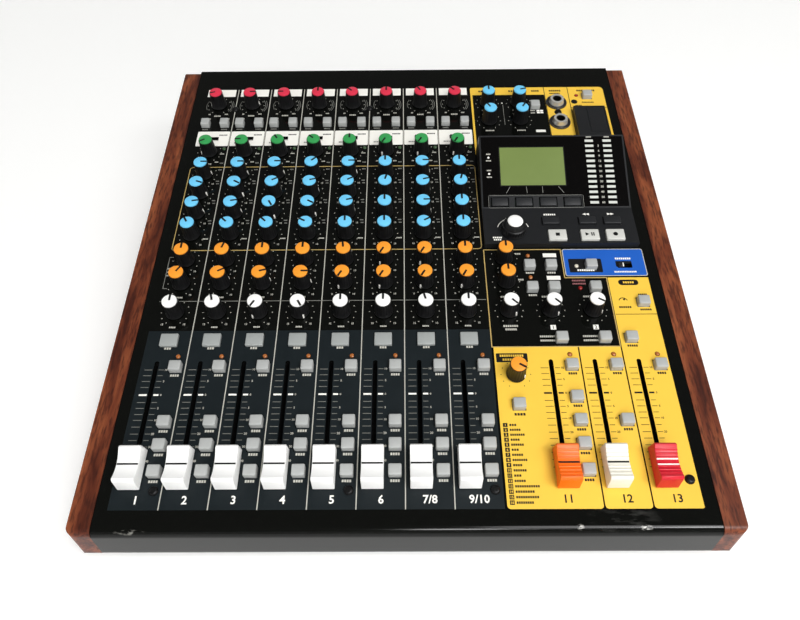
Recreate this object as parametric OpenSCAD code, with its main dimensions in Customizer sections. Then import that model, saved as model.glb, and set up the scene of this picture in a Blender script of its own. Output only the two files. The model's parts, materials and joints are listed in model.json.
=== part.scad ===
// Desktop recording mixer: a sloping steel control panel between two wooden
// sides, with rotary controls, slide faders, push buttons and a raised display.
// Millimetres, +Z up, front towards -Y, origin under the middle on the table.

/* [Case] */
// Width of one channel strip
strip_pitch = 25.35; // [24.8:0.05:26.2]
// Black border between the outer strips and the wooden sides
panel_margin = 7.4; // [6:0.1:12]
// Thickness of each wooden side
side_t = 12; // [9:0.5:18]
// Height of the wooden sides above the panel face
side_proud = 0.5; // [0:0.1:2]
// Radius of the wooden sides' outer corners
side_r = 4; // [2:0.5:6]
// Slope of the control panel
slope = 9; // [7:0.5:11]
// Height of the panel's front edge above the table
front_z = 35.1; // [34:0.1:40]
// Panel length behind the rearmost knob row
rear_margin = 40.5; // [38:0.5:50]
// Thickness of the panel sheet
panel_t = 1.5; // [1:0.1:2]
// Outer radius of the bend along the front edge
bend_r = 5; // [3:0.5:6]
// Outer radius of the bend under the front face
nose_r = 7; // [5:0.5:8]
// Length of the flange under the front edge
nose_len = 10; // [9:0.5:20]
// Thickness of the base tray and the rear panel
tray_t = 1.2; // [0.8:0.1:2]
// Height of the rubber feet
foot_h = 7.5; // [5:0.5:9]
// Diameter of the rubber feet
foot_d = 18; // [12:1:24]
// Distance of the feet from the case edges
foot_inset = 30; // [22:1:50]

/* [Knob rows] */
// Gain knob row, up the slope from the row of buttons under it
gain_v = 20.5; // [18:0.5:24]
// Compressor knob row, behind the highest equalizer row
comp_v = 22; // [18:0.5:25]
// Highest of the four equalizer rows, behind the upper auxiliary row
eq_v = 75.5; // [70:0.5:80]
// Distance between equalizer rows
eq_pitch = 18; // [17:0.5:18.5]
// Upper auxiliary row, behind the pan row
aux_v = 39.5; // [36:0.5:43]
// Distance between the auxiliary rows
aux_pitch = 18; // [17:0.5:19]
// Pan row, behind the record keys
pan_v = 19.7; // [17:0.1:22]
// Effects level knob row, in front of the record keys
effects_v = 23.8; // [22:0.1:26]
// Lower row of monitor knobs, in front of the gain row
monitor_v = 19; // [17:0.5:21]
// Second monitor knob column, right of the first
monitor_pitch = 23; // [21:0.5:24]

/* [Knobs] */
// Diameter of a knob at its base
knob_d = 11.2; // [9:0.1:12]
// Diameter of a knob at its top
knob_top_d = 9.4; // [8:0.1:10]
// Height of a knob's top above the panel
knob_h = 13.4; // [11:0.1:16]
// Gap between a knob and the panel
knob_gap = 0.6; // [0.4:0.1:0.9]
// Width of the pointer groove
pointer_w = 0.9; // [0.5:0.1:1.5]
// Depth of the pointer groove
pointer_depth = 0.4; // [0.2:0.1:0.8]
// Diameter of the potentiometer shafts
shaft_d = 6; // [4:0.1:6.5]
// Radial running clearance of a shaft in its body
run_fit = 0.05; // [0.02:0.01:0.1]
// Width of a potentiometer body
pot_w = 9.6; // [9:0.1:11]
// Length of a potentiometer body
pot_len = 10.6; // [9.5:0.1:12]
// Diameter of the display encoder knob at its base
encoder_d = 16; // [13:0.5:18]
// Diameter of the encoder knob at its top
encoder_top_d = 11; // [9:0.5:13]
// Height of the encoder knob above the display deck
encoder_h = 10.5; // [8:0.5:14]

/* [Faders] */
// Travel of every fader
fader_travel = 60; // [55:1:62]
// Middle of the fader caps at the lowest position
fader_v = 33.6; // [32:0.1:37]
// Fader slot, right of the strip's left edge
fader_du = 8.3; // [7.5:0.1:9]
// Width of a fader cap
cap_w = 11.6; // [9:0.1:12]
// Length of a fader cap
cap_len = 22; // [18:0.5:24]
// Height of a fader cap
cap_h = 10.5; // [8:0.5:13]
// Depth of the finger dish in a fader cap
cap_dish = 2.4; // [1:0.1:3]
// Gap between a fader cap and the panel
cap_gap = 1.2; // [0.8:0.1:2]
// Width of a fader slot in the panel
slot_w = 2.6; // [2.2:0.1:3]
// Spare length of a slot at each end of the travel
slot_spare = 2.5; // [1:0.1:4]
// Thickness of a fader lever
lever_t = 1.6; // [1:0.1:1.8]
// Length of a fader lever along the slot
lever_len = 6; // [4:0.5:8]
// Width of a fader track under the panel
track_w = 9; // [7:0.5:10]
// Solid end of a fader track beyond its slot
track_end = 4; // [3:0.5:5]

/* [Buttons and keys] */
// Width of a small push button
button_w = 7; // [6:0.1:7.4]
// Length of a small push button
button_len = 6.3; // [5:0.1:7]
// Height of a small push button above the panel
button_h = 4; // [3:0.1:5]
// Travel of a small push button
button_travel = 2; // [1:0.1:2.5]
// Width of the buttons under the gain knobs
input_button_w = 6.2; // [5:0.1:7]
// Sideways place of the buttons under the gain knobs
input_button_du = 7; // [6.5:0.1:7.4]
// Row of the buttons under the gain knobs, behind the slide switches
input_button_v = 15; // [13:0.5:18]
// Button column, right of the strip's left edge
button_du = 19.9; // [19.5:0.1:20.5]
// Row of the mute buttons, behind the effects pad button
mute_v = 20.2; // [18:0.1:22]
// Row of the effects pad button, behind the sub buttons
pad_v = 14.1; // [12:0.1:16]
// Row of the sub buttons, behind the main buttons
sub_v = 13.5; // [12:0.1:15]
// Row of the main buttons, behind the solo buttons
main_v = 14.7; // [13:0.1:16]
// Row of the solo buttons, from the front edge
solo_v = 32.4; // [31:0.1:35]
// Row of the effects program button, in front of the effects knob
program_v = 19; // [17:0.5:21]
// Row of the upper monitor source buttons, in front of the upper auxiliary row
source_v = 6; // [5:0.1:7]
// Row of the lower monitor source buttons, in front of the upper ones
listen_v = 17; // [15:0.5:19]
// Width of a record key
record_w = 10.4; // [8:0.1:12]
// Length of a record key
record_len = 8.4; // [7:0.1:9]
// Height of a record key above the panel
record_h = 1.6; // [1.2:0.1:2]
// Row of the record keys, behind the end of the fader travel
record_v = 19.5; // [17.5:0.1:22]
// Travel of the record, transport and function keys
key_travel = 1; // [0.5:0.1:1.2]
// Width of a light transport key
transport_w = 11.7; // [10:0.1:13]
// Length of a light transport key
transport_len = 8.5; // [7:0.1:9]
// Width of a dark menu or function key
menu_w = 11; // [9:0.1:12]
// Length of a dark menu or function key
menu_len = 6; // [5:0.1:6.5]
// Height of the display keys above their surface
key_h = 1.6; // [1.2:0.1:2.5]
// Clearance around a button or key in its hole
button_fit = 0.3; // [0.2:0.05:0.4]
// Width of a button's square stem
stem_w = 3.6; // [3:0.1:4]
// Width of a switch body
switch_w = 7.2; // [6:0.1:7.6]
// Height of a switch body on the board
switch_h = 6; // [5:0.1:7]
// Length of a channel slide switch slot
mode_slot_len = 9; // [8:0.1:9.6]
// Width of a channel slide switch slot
mode_slot_w = 3.4; // [3:0.1:4]
// Row of the channel slide switches, behind the compressor row
mode_v = 14.5; // [13:0.5:16]
// Travel of the slide switches
mode_travel = 4; // [2:0.5:4.5]
// Length of a slide switch handle along its slot
mode_handle = 3; // [2:0.1:3.5]
// Height of the slide switch handles above the panel
mode_h = 1.4; // [0.8:0.1:2]
// Diameter of the panel lamps
lamp_d = 2.6; // [2:0.1:3]
// Height of the panel lamps
lamp_h = 0.8; // [0.4:0.1:1.5]
// Row of the lamps, behind the mute buttons
lamp_v = 7.4; // [6.6:0.1:8]
// Compressor lamps, right of the strip's middle
comp_lamp_du = 10; // [8.5:0.1:10.4]
// Compressor lamps, behind the compressor knob row
comp_lamp_dv = 3.9; // [2:0.1:5]

/* [Display] */
// Front edge of the display housing, behind the upper auxiliary row
deck_v = 9; // [8:0.1:11]
// Depth of the flat deck in front of the display face
deck_len = 30; // [29:0.5:31]
// Height of the deck above the panel
deck_h = 4; // [3.5:0.1:5]
// Tilt of the display face from the deck
display_tilt = 16; // [10:1:18]
// Length of the tilted display face
face_len = 55; // [54.5:0.5:56]
// Width of the display housing
housing_w = 99; // [98:0.5:100]
// Lean of the housing's rear wall
rear_lean = 6; // [4:0.5:8]
// Wall thickness of the housing
housing_t = 2.4; // [2:0.1:2.6]
// Thickness of the display window
window_t = 1.4; // [1:0.1:1.6]
// Edge of the housing left around the window
window_edge = 1.2; // [0.8:0.1:2]
// Ledge that carries the window
window_ledge = 1.5; // [1:0.1:1.8]
// Height of the notch that the function keys take out of the window
notch_s = 9.5; // [9:0.1:10.5]
// Place of the function keys up the face
function_s = 4.6; // [4.2:0.1:5.2]
// Distance between function keys
function_pitch = 16.1; // [15:0.1:16.5]
// Width of the liquid crystal screen
lcd_w = 43.4; // [38:0.1:46]
// Height of the liquid crystal screen
lcd_len = 28.6; // [24:0.1:30]
// Lower edge of the screen up the face
lcd_s = 17; // [15:0.5:19]
// Thickness of the screen module
lcd_t = 4; // [3:0.1:5]
// Width of a level meter segment
segment_w = 5.7; // [4:0.1:7]
// Height of a level meter segment
segment_len = 1.8; // [1:0.1:2.4]
// Distance between level meter segments
segment_pitch = 3.87; // [3.4:0.01:3.9]
// Distance between the two meter columns
meter_pitch = 12.2; // [9:0.1:13]
// Height of the card bay behind the display
bay_h = 5; // [4.6:0.1:6]
// Width of the card bay
bay_w = 23; // [22:0.1:24]
// Width of the card lid
lid_w = 12.4; // [11:0.1:13]
// Length of the card lid
lid_len = 26; // [25.5:0.1:27]
// Thickness of the card lid
lid_t = 1.8; // [1.6:0.1:2]
// Width of the card slot along the lid
card_len = 24.6; // [24.4:0.1:25]
// Thickness of the card slot
card_t = 2.6; // [2.3:0.1:3]

/* [Sockets] */
// Bore of the jack sockets
jack_bore = 6.6; // [6.45:0.05:7]
// Depth of the jack bores behind the panel
jack_depth = 22; // [18:1:26]
// Diameter of the jack bushes
bush_d = 11.4; // [10:0.1:12]
// Length of the rear jack bushes outside the panel
bush_out = 4.1; // [3:0.1:9]
// Diameter of the jack nuts and washers
nut_d = 15.2; // [14:0.1:16]
// Width of a rear jack body
jack_w = 15; // [14:0.5:16]
// Height of the headphone jacks above the panel
phones_h = 4.2; // [3:0.1:6]
// Column of the headphone jacks, right of the third master strip's edge
phones_du = 14.2; // [13.5:0.1:15]
// Distance between the headphone jacks
phones_pitch = 21.5; // [21.5:0.1:22]
// Height of the upper socket row on the rear panel
upper_z = 58; // [56:0.5:60]
// Height of the lower socket row on the rear panel
lower_z = 30; // [28:0.5:32]
// Distance between the combination sockets
combo_pitch = 27; // [26:0.1:27.5]
// Diameter of the combination and output sockets
combo_d = 22; // [20:0.5:24]
// Flange of the round sockets outside the rear panel
flange_t = 1.6; // [1:0.1:3]
// Depth of the round sockets behind the rear panel
combo_depth = 24; // [20:1:26]
// Distance between the jack columns
jack_pitch = 20; // [19:0.5:21]

/* [Boards] */
// Depth of the circuit boards under the panel face
board_drop = 12; // [11:0.5:14]
// Thickness of the circuit boards
board_t = 1.6; // [1:0.1:2]
// Fit between fixed parts that are assembled together
fit = 0.2; // [0.1:0.05:0.3]

/* [Hidden] */

$fn = 48;
big = 800;
strips = 12;
channels = 8;
grid_w = strips * strip_pitch;
panel_w = grid_w + 2 * panel_margin;
case_w = panel_w + 2 * side_t;

// Rows of controls up the slope from the front edge, each from its neighbour
main_row = solo_v + main_v;
sub_row = main_row + sub_v;
pad_row = sub_row + pad_v;
mute_row = pad_row + mute_v;
lamp_row = mute_row + lamp_v;
record_row = fader_v + fader_travel + record_v;
effects_row = record_row - effects_v;
program_row = effects_row - program_v;
pan_row = record_row + pan_v;
aux_row = pan_row + aux_v;
source_row = aux_row - source_v;
listen_row = source_row - listen_v;
deck_row = aux_row + deck_v;
eq_row = aux_row + eq_v;
comp_row = eq_row + comp_v;
mode_row = comp_row + mode_v;
input_row = mode_row + input_button_v;
gain_row = input_row + gain_v;
monitor_row = gain_row - monitor_v;

panel_len = gain_row + rear_margin;
front_y = -(panel_len * cos(slope) + bush_out) / 2;
rear_y = front_y + panel_len * cos(slope);
rear_z = front_z + panel_len * sin(slope);
base_z = foot_h;

// Colours
steel_black = "#16181a";
wood_brown = "#6e3728";
zinc = "#9a9da0";
plastic_black = "#1c1c1e";
plastic_grey = "#b9bcba";
board_green = "#24512f";
cap_red = "#d2374b";
cap_green = "#2d9646";
cap_blue = "#5fc8f5";
cap_orange = "#fa9b28";
cap_white = "#f0efec";

// Left edge and middle of a strip, counted from 0 at the left
function strip_u(i) = -grid_w / 2 + i * strip_pitch;
function strip_mid(i) = strip_u(i) + strip_pitch / 2;

// Clock position of a pointer as an angle, clockwise from the top
function clock(hour) = (hour % 12) * 30;

// Point where the line through p at angle a meets the line through q at angle b
function meet(p, a, q, b) =
    let (along = ((q[0] - p[0]) * sin(b) - (q[1] - p[1]) * cos(b)) / sin(b - a))
    [p[0] + along * cos(a), p[1] + along * sin(a)];

// Outline of a polygon with its corners rounded, one radius for each corner
function unit(v) = v / norm(v);
function corner(before, at, after, r) =
    let (d1 = unit(before - at), d2 = unit(after - at))
    let (half = acos(d1 * d2) / 2, mid = at + unit(d1 + d2) * r / sin(half))
    let (t1 = at + d1 * r / tan(half) - mid, t2 = at + d2 * r / tan(half) - mid)
    let (sweep = 180 - 2 * half, steps = 12)
    [for (i = [0:steps])
        mid + (t1 * sin(sweep * (1 - i / steps)) + t2 * sin(sweep * i / steps)) / sin(sweep)];
function rounded(points, radii) =
    let (n = len(points))
    [for (i = [0:n - 1]) each radii[i] == 0 ? [points[i]] :
        corner(points[(i + n - 1) % n], points[i], points[(i + 1) % n], radii[i])];

// Panel frame: X across, Y up the slope from the front edge, Z out of the face
module on_panel() {
    translate([0, front_y, front_z]) rotate([slope, 0, 0]) children();
}

// Display face frame: Y up the tilted face, Z out of it
module on_face() {
    on_panel() translate([0, deck_row + deck_len, deck_h]) rotate([display_tilt, 0, 0]) children();
}

// Rear panel frame: Z out of the rear panel, Y down
module on_rear(x, z) {
    translate([x, rear_y, z]) rotate([-90, 0, 0]) children();
}

// Extrusion along X of an outline drawn in Y and Z
module across(x0, x1) {
    translate([x0, 0, 0]) rotate([90, 0, 90]) linear_extrude(x1 - x0) children();
}

// Box given by its middle, size and two heights
module post(x, y, w, l, z0, z1) {
    translate([x - w / 2, y - l / 2, z0]) cube([w, l, z1 - z0]);
}

// Everything above the underside of the panel sheet
module above_underside() {
    on_panel() translate([-big / 2, -big / 2, -panel_t]) cube([big, big, big]);
}

// Places of the controls
eq_rows = [for (i = [0:3]) eq_row - i * eq_pitch];
aux_rows = [aux_row, aux_row - aux_pitch];
knob_rows = concat([gain_row, comp_row], eq_rows, aux_rows, [pan_row]);
monitor_u = [strip_mid(8), strip_mid(8) + monitor_pitch];
master_knobs = [
    [monitor_u[0], gain_row, 12], [monitor_u[1], gain_row, 2.5],
    [monitor_u[0], monitor_row, 11], [monitor_u[1], monitor_row, 1],
    [strip_mid(8), aux_rows[0], 12], [strip_mid(8), aux_rows[1], 12],
    [strip_mid(8), pan_row, 4.5], [strip_mid(9), pan_row, 4.5], [strip_mid(10), pan_row, 4],
    [strip_mid(8), effects_row, 4]];
housing_inset = 1.3;
housing_u1 = strip_u(12) - housing_inset;
housing_u0 = housing_u1 - housing_w;
encoder_du = 19.2;
encoder_dv = 11;
encoder_u = housing_u0 + encoder_du;
encoder_v = deck_row + encoder_dv;

// Pointer of every channel knob as a clock hour: one line for each row, one column for each channel
pointer_hours = [
    [8.5, 3, 9, 12, 10.5, 12, 11, 10.5],
    [8, 9, 11, 10.5, 12, 7, 7, 7],
    [3, 3, 3, 1.5, 3, 12, 3, 12],
    [3.7, 4, 2, 2.5, 2, 12.5, 2.5, 12.5],
    [2.7, 2.7, 5, 4, 2.5, 12, 3, 12],
    [11, 10.5, 10.5, 10, 12, 12, 2, 12],
    [12, 12.5, 12, 12, 11.8, 7, 7, 12],
    [1, 2, 2.5, 3, 7, 7, 7, 7],
    [12, 11.5, 7, 5, 12, 12, 11.5, 12]];

// Every fader slot: 8 channels, then effects, sub and main
fader_u = [for (i = [0, 1, 2, 3, 4, 5, 6, 7, 9, 10, 11]) strip_u(i) + fader_du];
slot_v0 = fader_v - lever_len / 2 - slot_spare;
slot_v1 = fader_v + fader_travel + lever_len / 2 + slot_spare;

input_buttons_at = [for (i = [0:channels - 1]) for (s = [-1, 1])
    [strip_mid(i) + s * input_button_du, input_row]];
channel_rows = [mute_row, sub_row, main_row, solo_v];
channel_buttons_at = [for (i = [0:channels - 1]) for (v = channel_rows) [strip_u(i) + button_du, v]];

// Master buttons: effects, sub and main strips, then the monitor field and the rear row
source_du = 3;
listen_du = 16.5;
talkback_dv = 5.5;
talkback_v = pan_row + talkback_dv;
light_dv = 7.5;
light_v = gain_row + light_dv;
monitor_button_at = [strip_mid(9) + 10.1, gain_row - 3.5];
master_buttons_at = concat(
    [for (v = concat(channel_rows, [pad_row])) [strip_u(9) + button_du, v]],
    [for (v = [mute_row, sub_row]) [strip_u(10) + button_du, v]],
    [[strip_u(11) + button_du, mute_row], [strip_mid(8), program_row]],
    [for (v = [source_row, listen_row]) for (u = [source_du, listen_du]) [strip_u(9) + u, v]],
    [for (v = [source_row, listen_row, record_row]) [strip_u(10) + listen_du, v]],
    [[strip_u(9) + listen_du, record_row], [strip_u(11) + 6.6, record_row]],
    [[strip_u(11) + 18.6, talkback_v], monitor_button_at, [strip_mid(11), light_v]]);
record_keys_at = [for (i = [0:channels - 1]) [strip_mid(i), record_row]];

// Display keys: transport and menu on the deck, functions on the face
transport_dv = 6.4;
menu_dv = 18.6;
key_columns = [69, 85.3];
function_du = 13.3;
transport_keys_at = [for (u = concat([48.2], key_columns)) [strip_u(8) + u, deck_row + transport_dv]];
menu_keys_at = [for (u = concat([45.2], key_columns)) [strip_u(8) + u, deck_row + menu_dv]];
function_keys_at = [for (i = [0:3]) [strip_u(8) + function_du + i * function_pitch, function_s]];
slide_slots_at = concat([for (i = [0:channels - 1]) [strip_mid(i), mode_row]], [[strip_mid(11), source_row]]);

// Lamps: mute row, compressors, monitor field and the rear one
lamp_du = 7.5;
source_lamp_dv = 8.4;
light_lamp_du = 5;
lamps_at = concat(
    [for (i = [0, 1, 2, 3, 4, 5, 6, 7, 9, 10, 11]) [strip_u(i) + button_du, lamp_row]],
    [for (i = [0:channels - 1]) [strip_mid(i) + comp_lamp_du, comp_row + comp_lamp_dv]],
    [for (v = [source_row, listen_row]) [strip_u(9) + source_du, v + source_lamp_dv]],
    [for (v = [source_row, listen_row]) [strip_u(10) + lamp_du, v]],
    [[strip_u(11) + light_lamp_du, light_v + 1]]);

// Headphone jacks and panel screws
phones_u = strip_u(10) + phones_du;
phones_v = gain_row + 0.5;
phones_at = [[phones_u, phones_v], [phones_u, phones_v - phones_pitch]];
front_screw_du = 21.2;
front_screw_v = 22.3;
main_screw_dv = 5;
rear_screw_dv = -4.5;
screws_at = concat(
    [for (i = [0, 4, 7]) [strip_u(i) + front_screw_du, front_screw_v]],
    [[strip_u(11) + front_screw_du, front_screw_v + main_screw_dv]],
    [for (i = [1, 5]) [strip_u(i), gain_row + rear_screw_dv]],
    [[phones_u, phones_v - phones_pitch / 2]]);

// Display housing corners in the panel's Y and Z
face_foot = [deck_row + deck_len, deck_h];
face_top = face_foot + face_len * [cos(display_tilt), sin(display_tilt)];
wall_foot = [face_top[0] + rear_lean, 0];
wall_angle = atan2(face_top[1], -rear_lean);
deck_under = [deck_row + housing_t, deck_h - housing_t];
face_under = face_foot + housing_t * [sin(display_tilt), -cos(display_tilt)];
wall_inner = wall_foot - housing_t * [sin(wall_angle), -cos(wall_angle)];
room_v1 = meet(wall_inner, wall_angle, [0, 0], 0)[0];

// Display window, across and up the face
window_u0 = housing_u0 + window_edge;
window_u1 = housing_u1 - window_edge;
window_s0 = window_edge;
window_s1 = face_len - window_edge;
notch_u0 = function_keys_at[0][0] - menu_w / 2 - window_edge;
notch_u1 = function_keys_at[3][0] + menu_w / 2 + window_edge;
lcd_du = 14.7;
lcd_u0 = strip_u(8) + lcd_du;
lcd_back = 1.2;
meter_du = 0.2;
meter_u = [for (d = [0, meter_pitch]) strip_u(11) + meter_du + d];
meter_rows = 13;
meter_clear = 0.4;
meter_s = window_s0 + window_ledge + meter_clear + segment_len / 2;
meter_s1 = meter_s + (meter_rows - 1) * segment_pitch + segment_len / 2;
face_board_t = 1.2;
face_board_s0 = 2.5;
face_board_drop = window_t + lcd_t + lcd_back + face_board_t;
face_board_edge = 3 * housing_t;
face_switch_gap = 0.6;
face_switch_top = -housing_t - face_switch_gap;
face_fit = 0.6;

// Card bay and lid
bay_inset = 2.8;
bay_u1 = strip_u(12) - bay_inset;
bay_u0 = bay_u1 - bay_w;
bay_v0 = wall_foot[0] - housing_t;
bay_v1 = gain_row - 9;
bay_wall = 1;
lid_u1 = bay_u1 - bay_wall - button_fit;
lid_u0 = lid_u1 - lid_w;
lid_v1 = bay_v1 - bay_wall - button_fit;
lid_v0 = lid_v1 - lid_len;
lid_pin_v = lid_v1 - lid_t / 2;
lid_pin_w = bay_h - lid_t / 2;
lid_pin_d = 1;
lid_pin_len = 0.6;
lid_pin_end = 0.1;
card_u = (lid_u0 + lid_u1) / 2;
card_v = (lid_v0 + lid_pin_v) / 2;
card_socket_wall = 2;
card_socket_floor = 1;

// Rear panel places
combo_x = [for (i = [0:5]) strip_mid(0) + i * combo_pitch];
output_x = [for (i = [0, 1]) strip_mid(11) + (i - 1) * combo_pitch];
jack_x0 = combo_x[5] + combo_pitch;
rear_jacks_at = concat(
    [for (i = [0:3]) for (z = [upper_z, lower_z]) [jack_x0 + i * jack_pitch, z]],
    [[combo_x[5], lower_z]]);
usb_x = combo_x[4];
inlet_x = output_x[1] + 4;
switch_x = output_x[0];
jack_back = 2;
jack_board_y = rear_y - tray_t - jack_depth - jack_back;

// Data socket, power inlet, output wells and power rocker
usb_w = 11;
usb_h = 5.6;
usb_wall = 1.2;
usb_depth = 8;
inlet_d = 10;
inlet_bore = 6.4;
inlet_pin = 2;
inlet_depth = 11;
output_wall = 2;
output_pin = 2.4;
output_pin_len = 9.6;
output_depth = 16;
pin_root = 1;
combo_pin_r = 7;
output_pin_r = 4.8;
bezel_w = 14;
bezel_h = 22;
bezel_depth = 14;
rocker_w = 10;
rocker_r = 9;
rocker_bed = 3.5;
rocker_tilt = 8;
rocker_out = 1.4;
rocker_pin_d = 1.6;
rocker_pin_len = 0.6;

// Board edges
board_v0 = 14;
board_gap = 2;
board_split = record_row - 5;
board_v1 = light_v + switch_w / 2;
board_u = panel_w / 2 - tray_t - 4;
pot_floor = 1.2;

// Fasteners: panel, rear, side and foot screws
screw_d = 3;
screw_head_d = 5.4;
screw_tip_d = 4.2;
screw_head = 1.5;
screw_hole = screw_d + 2 * fit;
flange_w = 8;
rear_screw_x = panel_w / 2 - flange_w / 2;
rear_screw_len = 2 * tray_t + 3;
side_screw_len = tray_t + side_t / 2;
side_screws_y = [front_y + foot_inset, (front_y + rear_y) / 2, rear_y - foot_inset];
side_screw_z = base_z + 12;
foot_x = panel_w / 2 - foot_inset;
foot_places = [for (x = [-foot_x, foot_x]) for (y = [front_y + foot_inset, rear_y - foot_inset]) [x, y]];
foot_taper = 2;
foot_recess_d = 7;
foot_recess = foot_h / 2;
foot_screw_len = foot_h - foot_recess + tray_t + 3;
phones_washer = 1;
phones_cone = 1.6;
shaft_hole = shaft_d + 4 * fit;

// Hole for a button or key
module button_hole(at, w, l) {
    translate(at) square([w + 2 * button_fit, l + 2 * button_fit], center = true);
}

// Slot with round ends, along Y
module round_slot(u, v0, v1, w) {
    translate([u - w / 2, v0 + w / 2]) square([w, v1 - v0 - w]);
    for (v = [v0 + w / 2, v1 - w / 2]) translate([u, v]) circle(d = w);
}

// All holes of the flat panel sheet
module panel_holes() {
    for (i = [0:channels - 1]) for (v = knob_rows) translate([strip_mid(i), v]) circle(d = shaft_hole);
    for (k = master_knobs) translate([k[0], k[1]]) circle(d = shaft_hole);
    for (u = fader_u) round_slot(u, slot_v0, slot_v1, slot_w);
    for (p = input_buttons_at) button_hole(p, input_button_w, button_len);
    for (p = concat(channel_buttons_at, master_buttons_at)) button_hole(p, button_w, button_len);
    for (p = record_keys_at) button_hole(p, record_w, record_len);
    for (p = slide_slots_at) translate(p) square([mode_slot_len, mode_slot_w], center = true);
    for (p = lamps_at) translate(p) circle(d = lamp_d + 2 * fit);
    for (p = phones_at) translate(p) circle(d = bush_d + 2 * fit);
    for (p = screws_at) translate(p) circle(d = screw_hole);
    translate([housing_u0 + 2 * housing_t, deck_row + housing_t])
        square([housing_w - 4 * housing_t, room_v1 - deck_row - 2 * housing_t]);
    translate([card_u, card_v]) square([card_t + 2 * fit, card_len + 2 * fit], center = true);
}

// Steel sheet with the control face, the bend along its front, the front face and the flange under it
module top_panel() {
    inner_y = front_y + panel_t;
    flange_y = front_y + nose_len;
    top_rear = [rear_y, rear_z];
    under_rear = top_rear + panel_t * [sin(slope), -cos(slope)];
    outline = [
        [flange_y, base_z], [front_y, base_z], [front_y, front_z], top_rear,
        under_rear, meet([inner_y, 0], 90, under_rear, slope), [inner_y, base_z + panel_t],
        [flange_y, base_z + panel_t]];
    color(steel_black) difference() {
        across(-panel_w / 2, panel_w / 2)
            polygon(rounded(outline, [0, nose_r, bend_r, 0, 0, bend_r - panel_t, nose_r - panel_t, 0]));
        on_panel() translate([0, 0, -2 * panel_t]) linear_extrude(3 * panel_t) panel_holes();
    }
}

// Steel floor with a wall on each side that carries the panel and a flange that carries the rear
module base_tray() {
    floor_y = front_y + nose_len;
    inner_y = rear_y - tray_t;
    color(zinc) difference() {
        union() {
            translate([-panel_w / 2, floor_y, base_z]) cube([panel_w, inner_y - floor_y, tray_t]);
            for (x = [-panel_w / 2, panel_w / 2 - tray_t]) translate([x, floor_y, base_z])
                cube([tray_t, inner_y - floor_y, rear_z - base_z]);
            for (x = [-panel_w / 2, panel_w / 2 - flange_w]) translate([x, inner_y - tray_t, base_z])
                cube([flange_w, tray_t, rear_z - base_z]);
        }
        above_underside();
        rear_screw_holes();
        side_screw_holes(panel_w);
        for (p = foot_places) translate([p[0], p[1], 0]) cylinder(d = screw_hole, h = 2 * base_z);
    }
}

// Holes of the rear screws, through the rear panel and the tray's flanges
module rear_screw_holes() {
    for (x = [-rear_screw_x, rear_screw_x]) for (z = [lower_z, upper_z])
        on_rear(x, z) translate([0, 0, -3 * tray_t]) cylinder(d = screw_hole, h = 4 * tray_t);
}

// Holes of the screws that hold the wooden sides, from one side to the other
module side_screw_holes(length) {
    for (y = side_screws_y) translate([-length / 2, y, side_screw_z]) rotate([0, 90, 0])
        cylinder(d = screw_hole, h = length);
}

// Rear plate with its socket holes
module rear_panel() {
    color(steel_black) difference() {
        translate([-panel_w / 2, rear_y - tray_t, base_z]) cube([panel_w, tray_t, rear_z - base_z]);
        above_underside();
        rear_screw_holes();
        for (x = combo_x) on_rear(x, upper_z) rear_hole(combo_d + 2 * fit);
        for (x = output_x) on_rear(x, upper_z) rear_hole(combo_d + 2 * fit);
        for (p = rear_jacks_at) on_rear(p[0], p[1]) rear_hole(bush_d + 2 * fit);
        on_rear(inlet_x, lower_z) rear_hole(inlet_d + 2 * fit);
        on_rear(usb_x, lower_z) post(0, 0, usb_w + 2 * fit, usb_h + 2 * fit, -2 * tray_t, tray_t);
        on_rear(switch_x, lower_z)
            post(0, 0, bezel_w + 2 * fit, bezel_h + 2 * fit, -2 * tray_t, tray_t);
    }
}

module rear_hole(d) {
    translate([0, 0, -2 * tray_t]) cylinder(d = d, h = 3 * tray_t);
}

// Wooden side: sloping outline with round corners, and a round outer edge
module side_panel() {
    top_front = front_z + side_proud;
    top_rear = rear_z + side_proud;
    outline = [[front_y, base_z], [rear_y, base_z], [rear_y, top_rear], [front_y, top_front]];
    plan = [[0, front_y], [side_t, front_y], [side_t, rear_y], [0, rear_y]];
    color(wood_brown) difference() {
        intersection() {
            across(0, side_t) polygon(rounded(outline, [nose_r, side_r / 2, side_r, side_r]));
            linear_extrude(2 * rear_z) polygon(rounded(plan, [0, side_r, side_r, 0]));
        }
        side_screw_holes(2 * (side_screw_len - tray_t + 1));
    }
}

module right_side_panel() {
    translate([panel_w / 2, 0, 0]) side_panel();
}

module left_side_panel() {
    translate([-panel_w / 2, 0, 0]) mirror([1, 0, 0]) side_panel();
}

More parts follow.
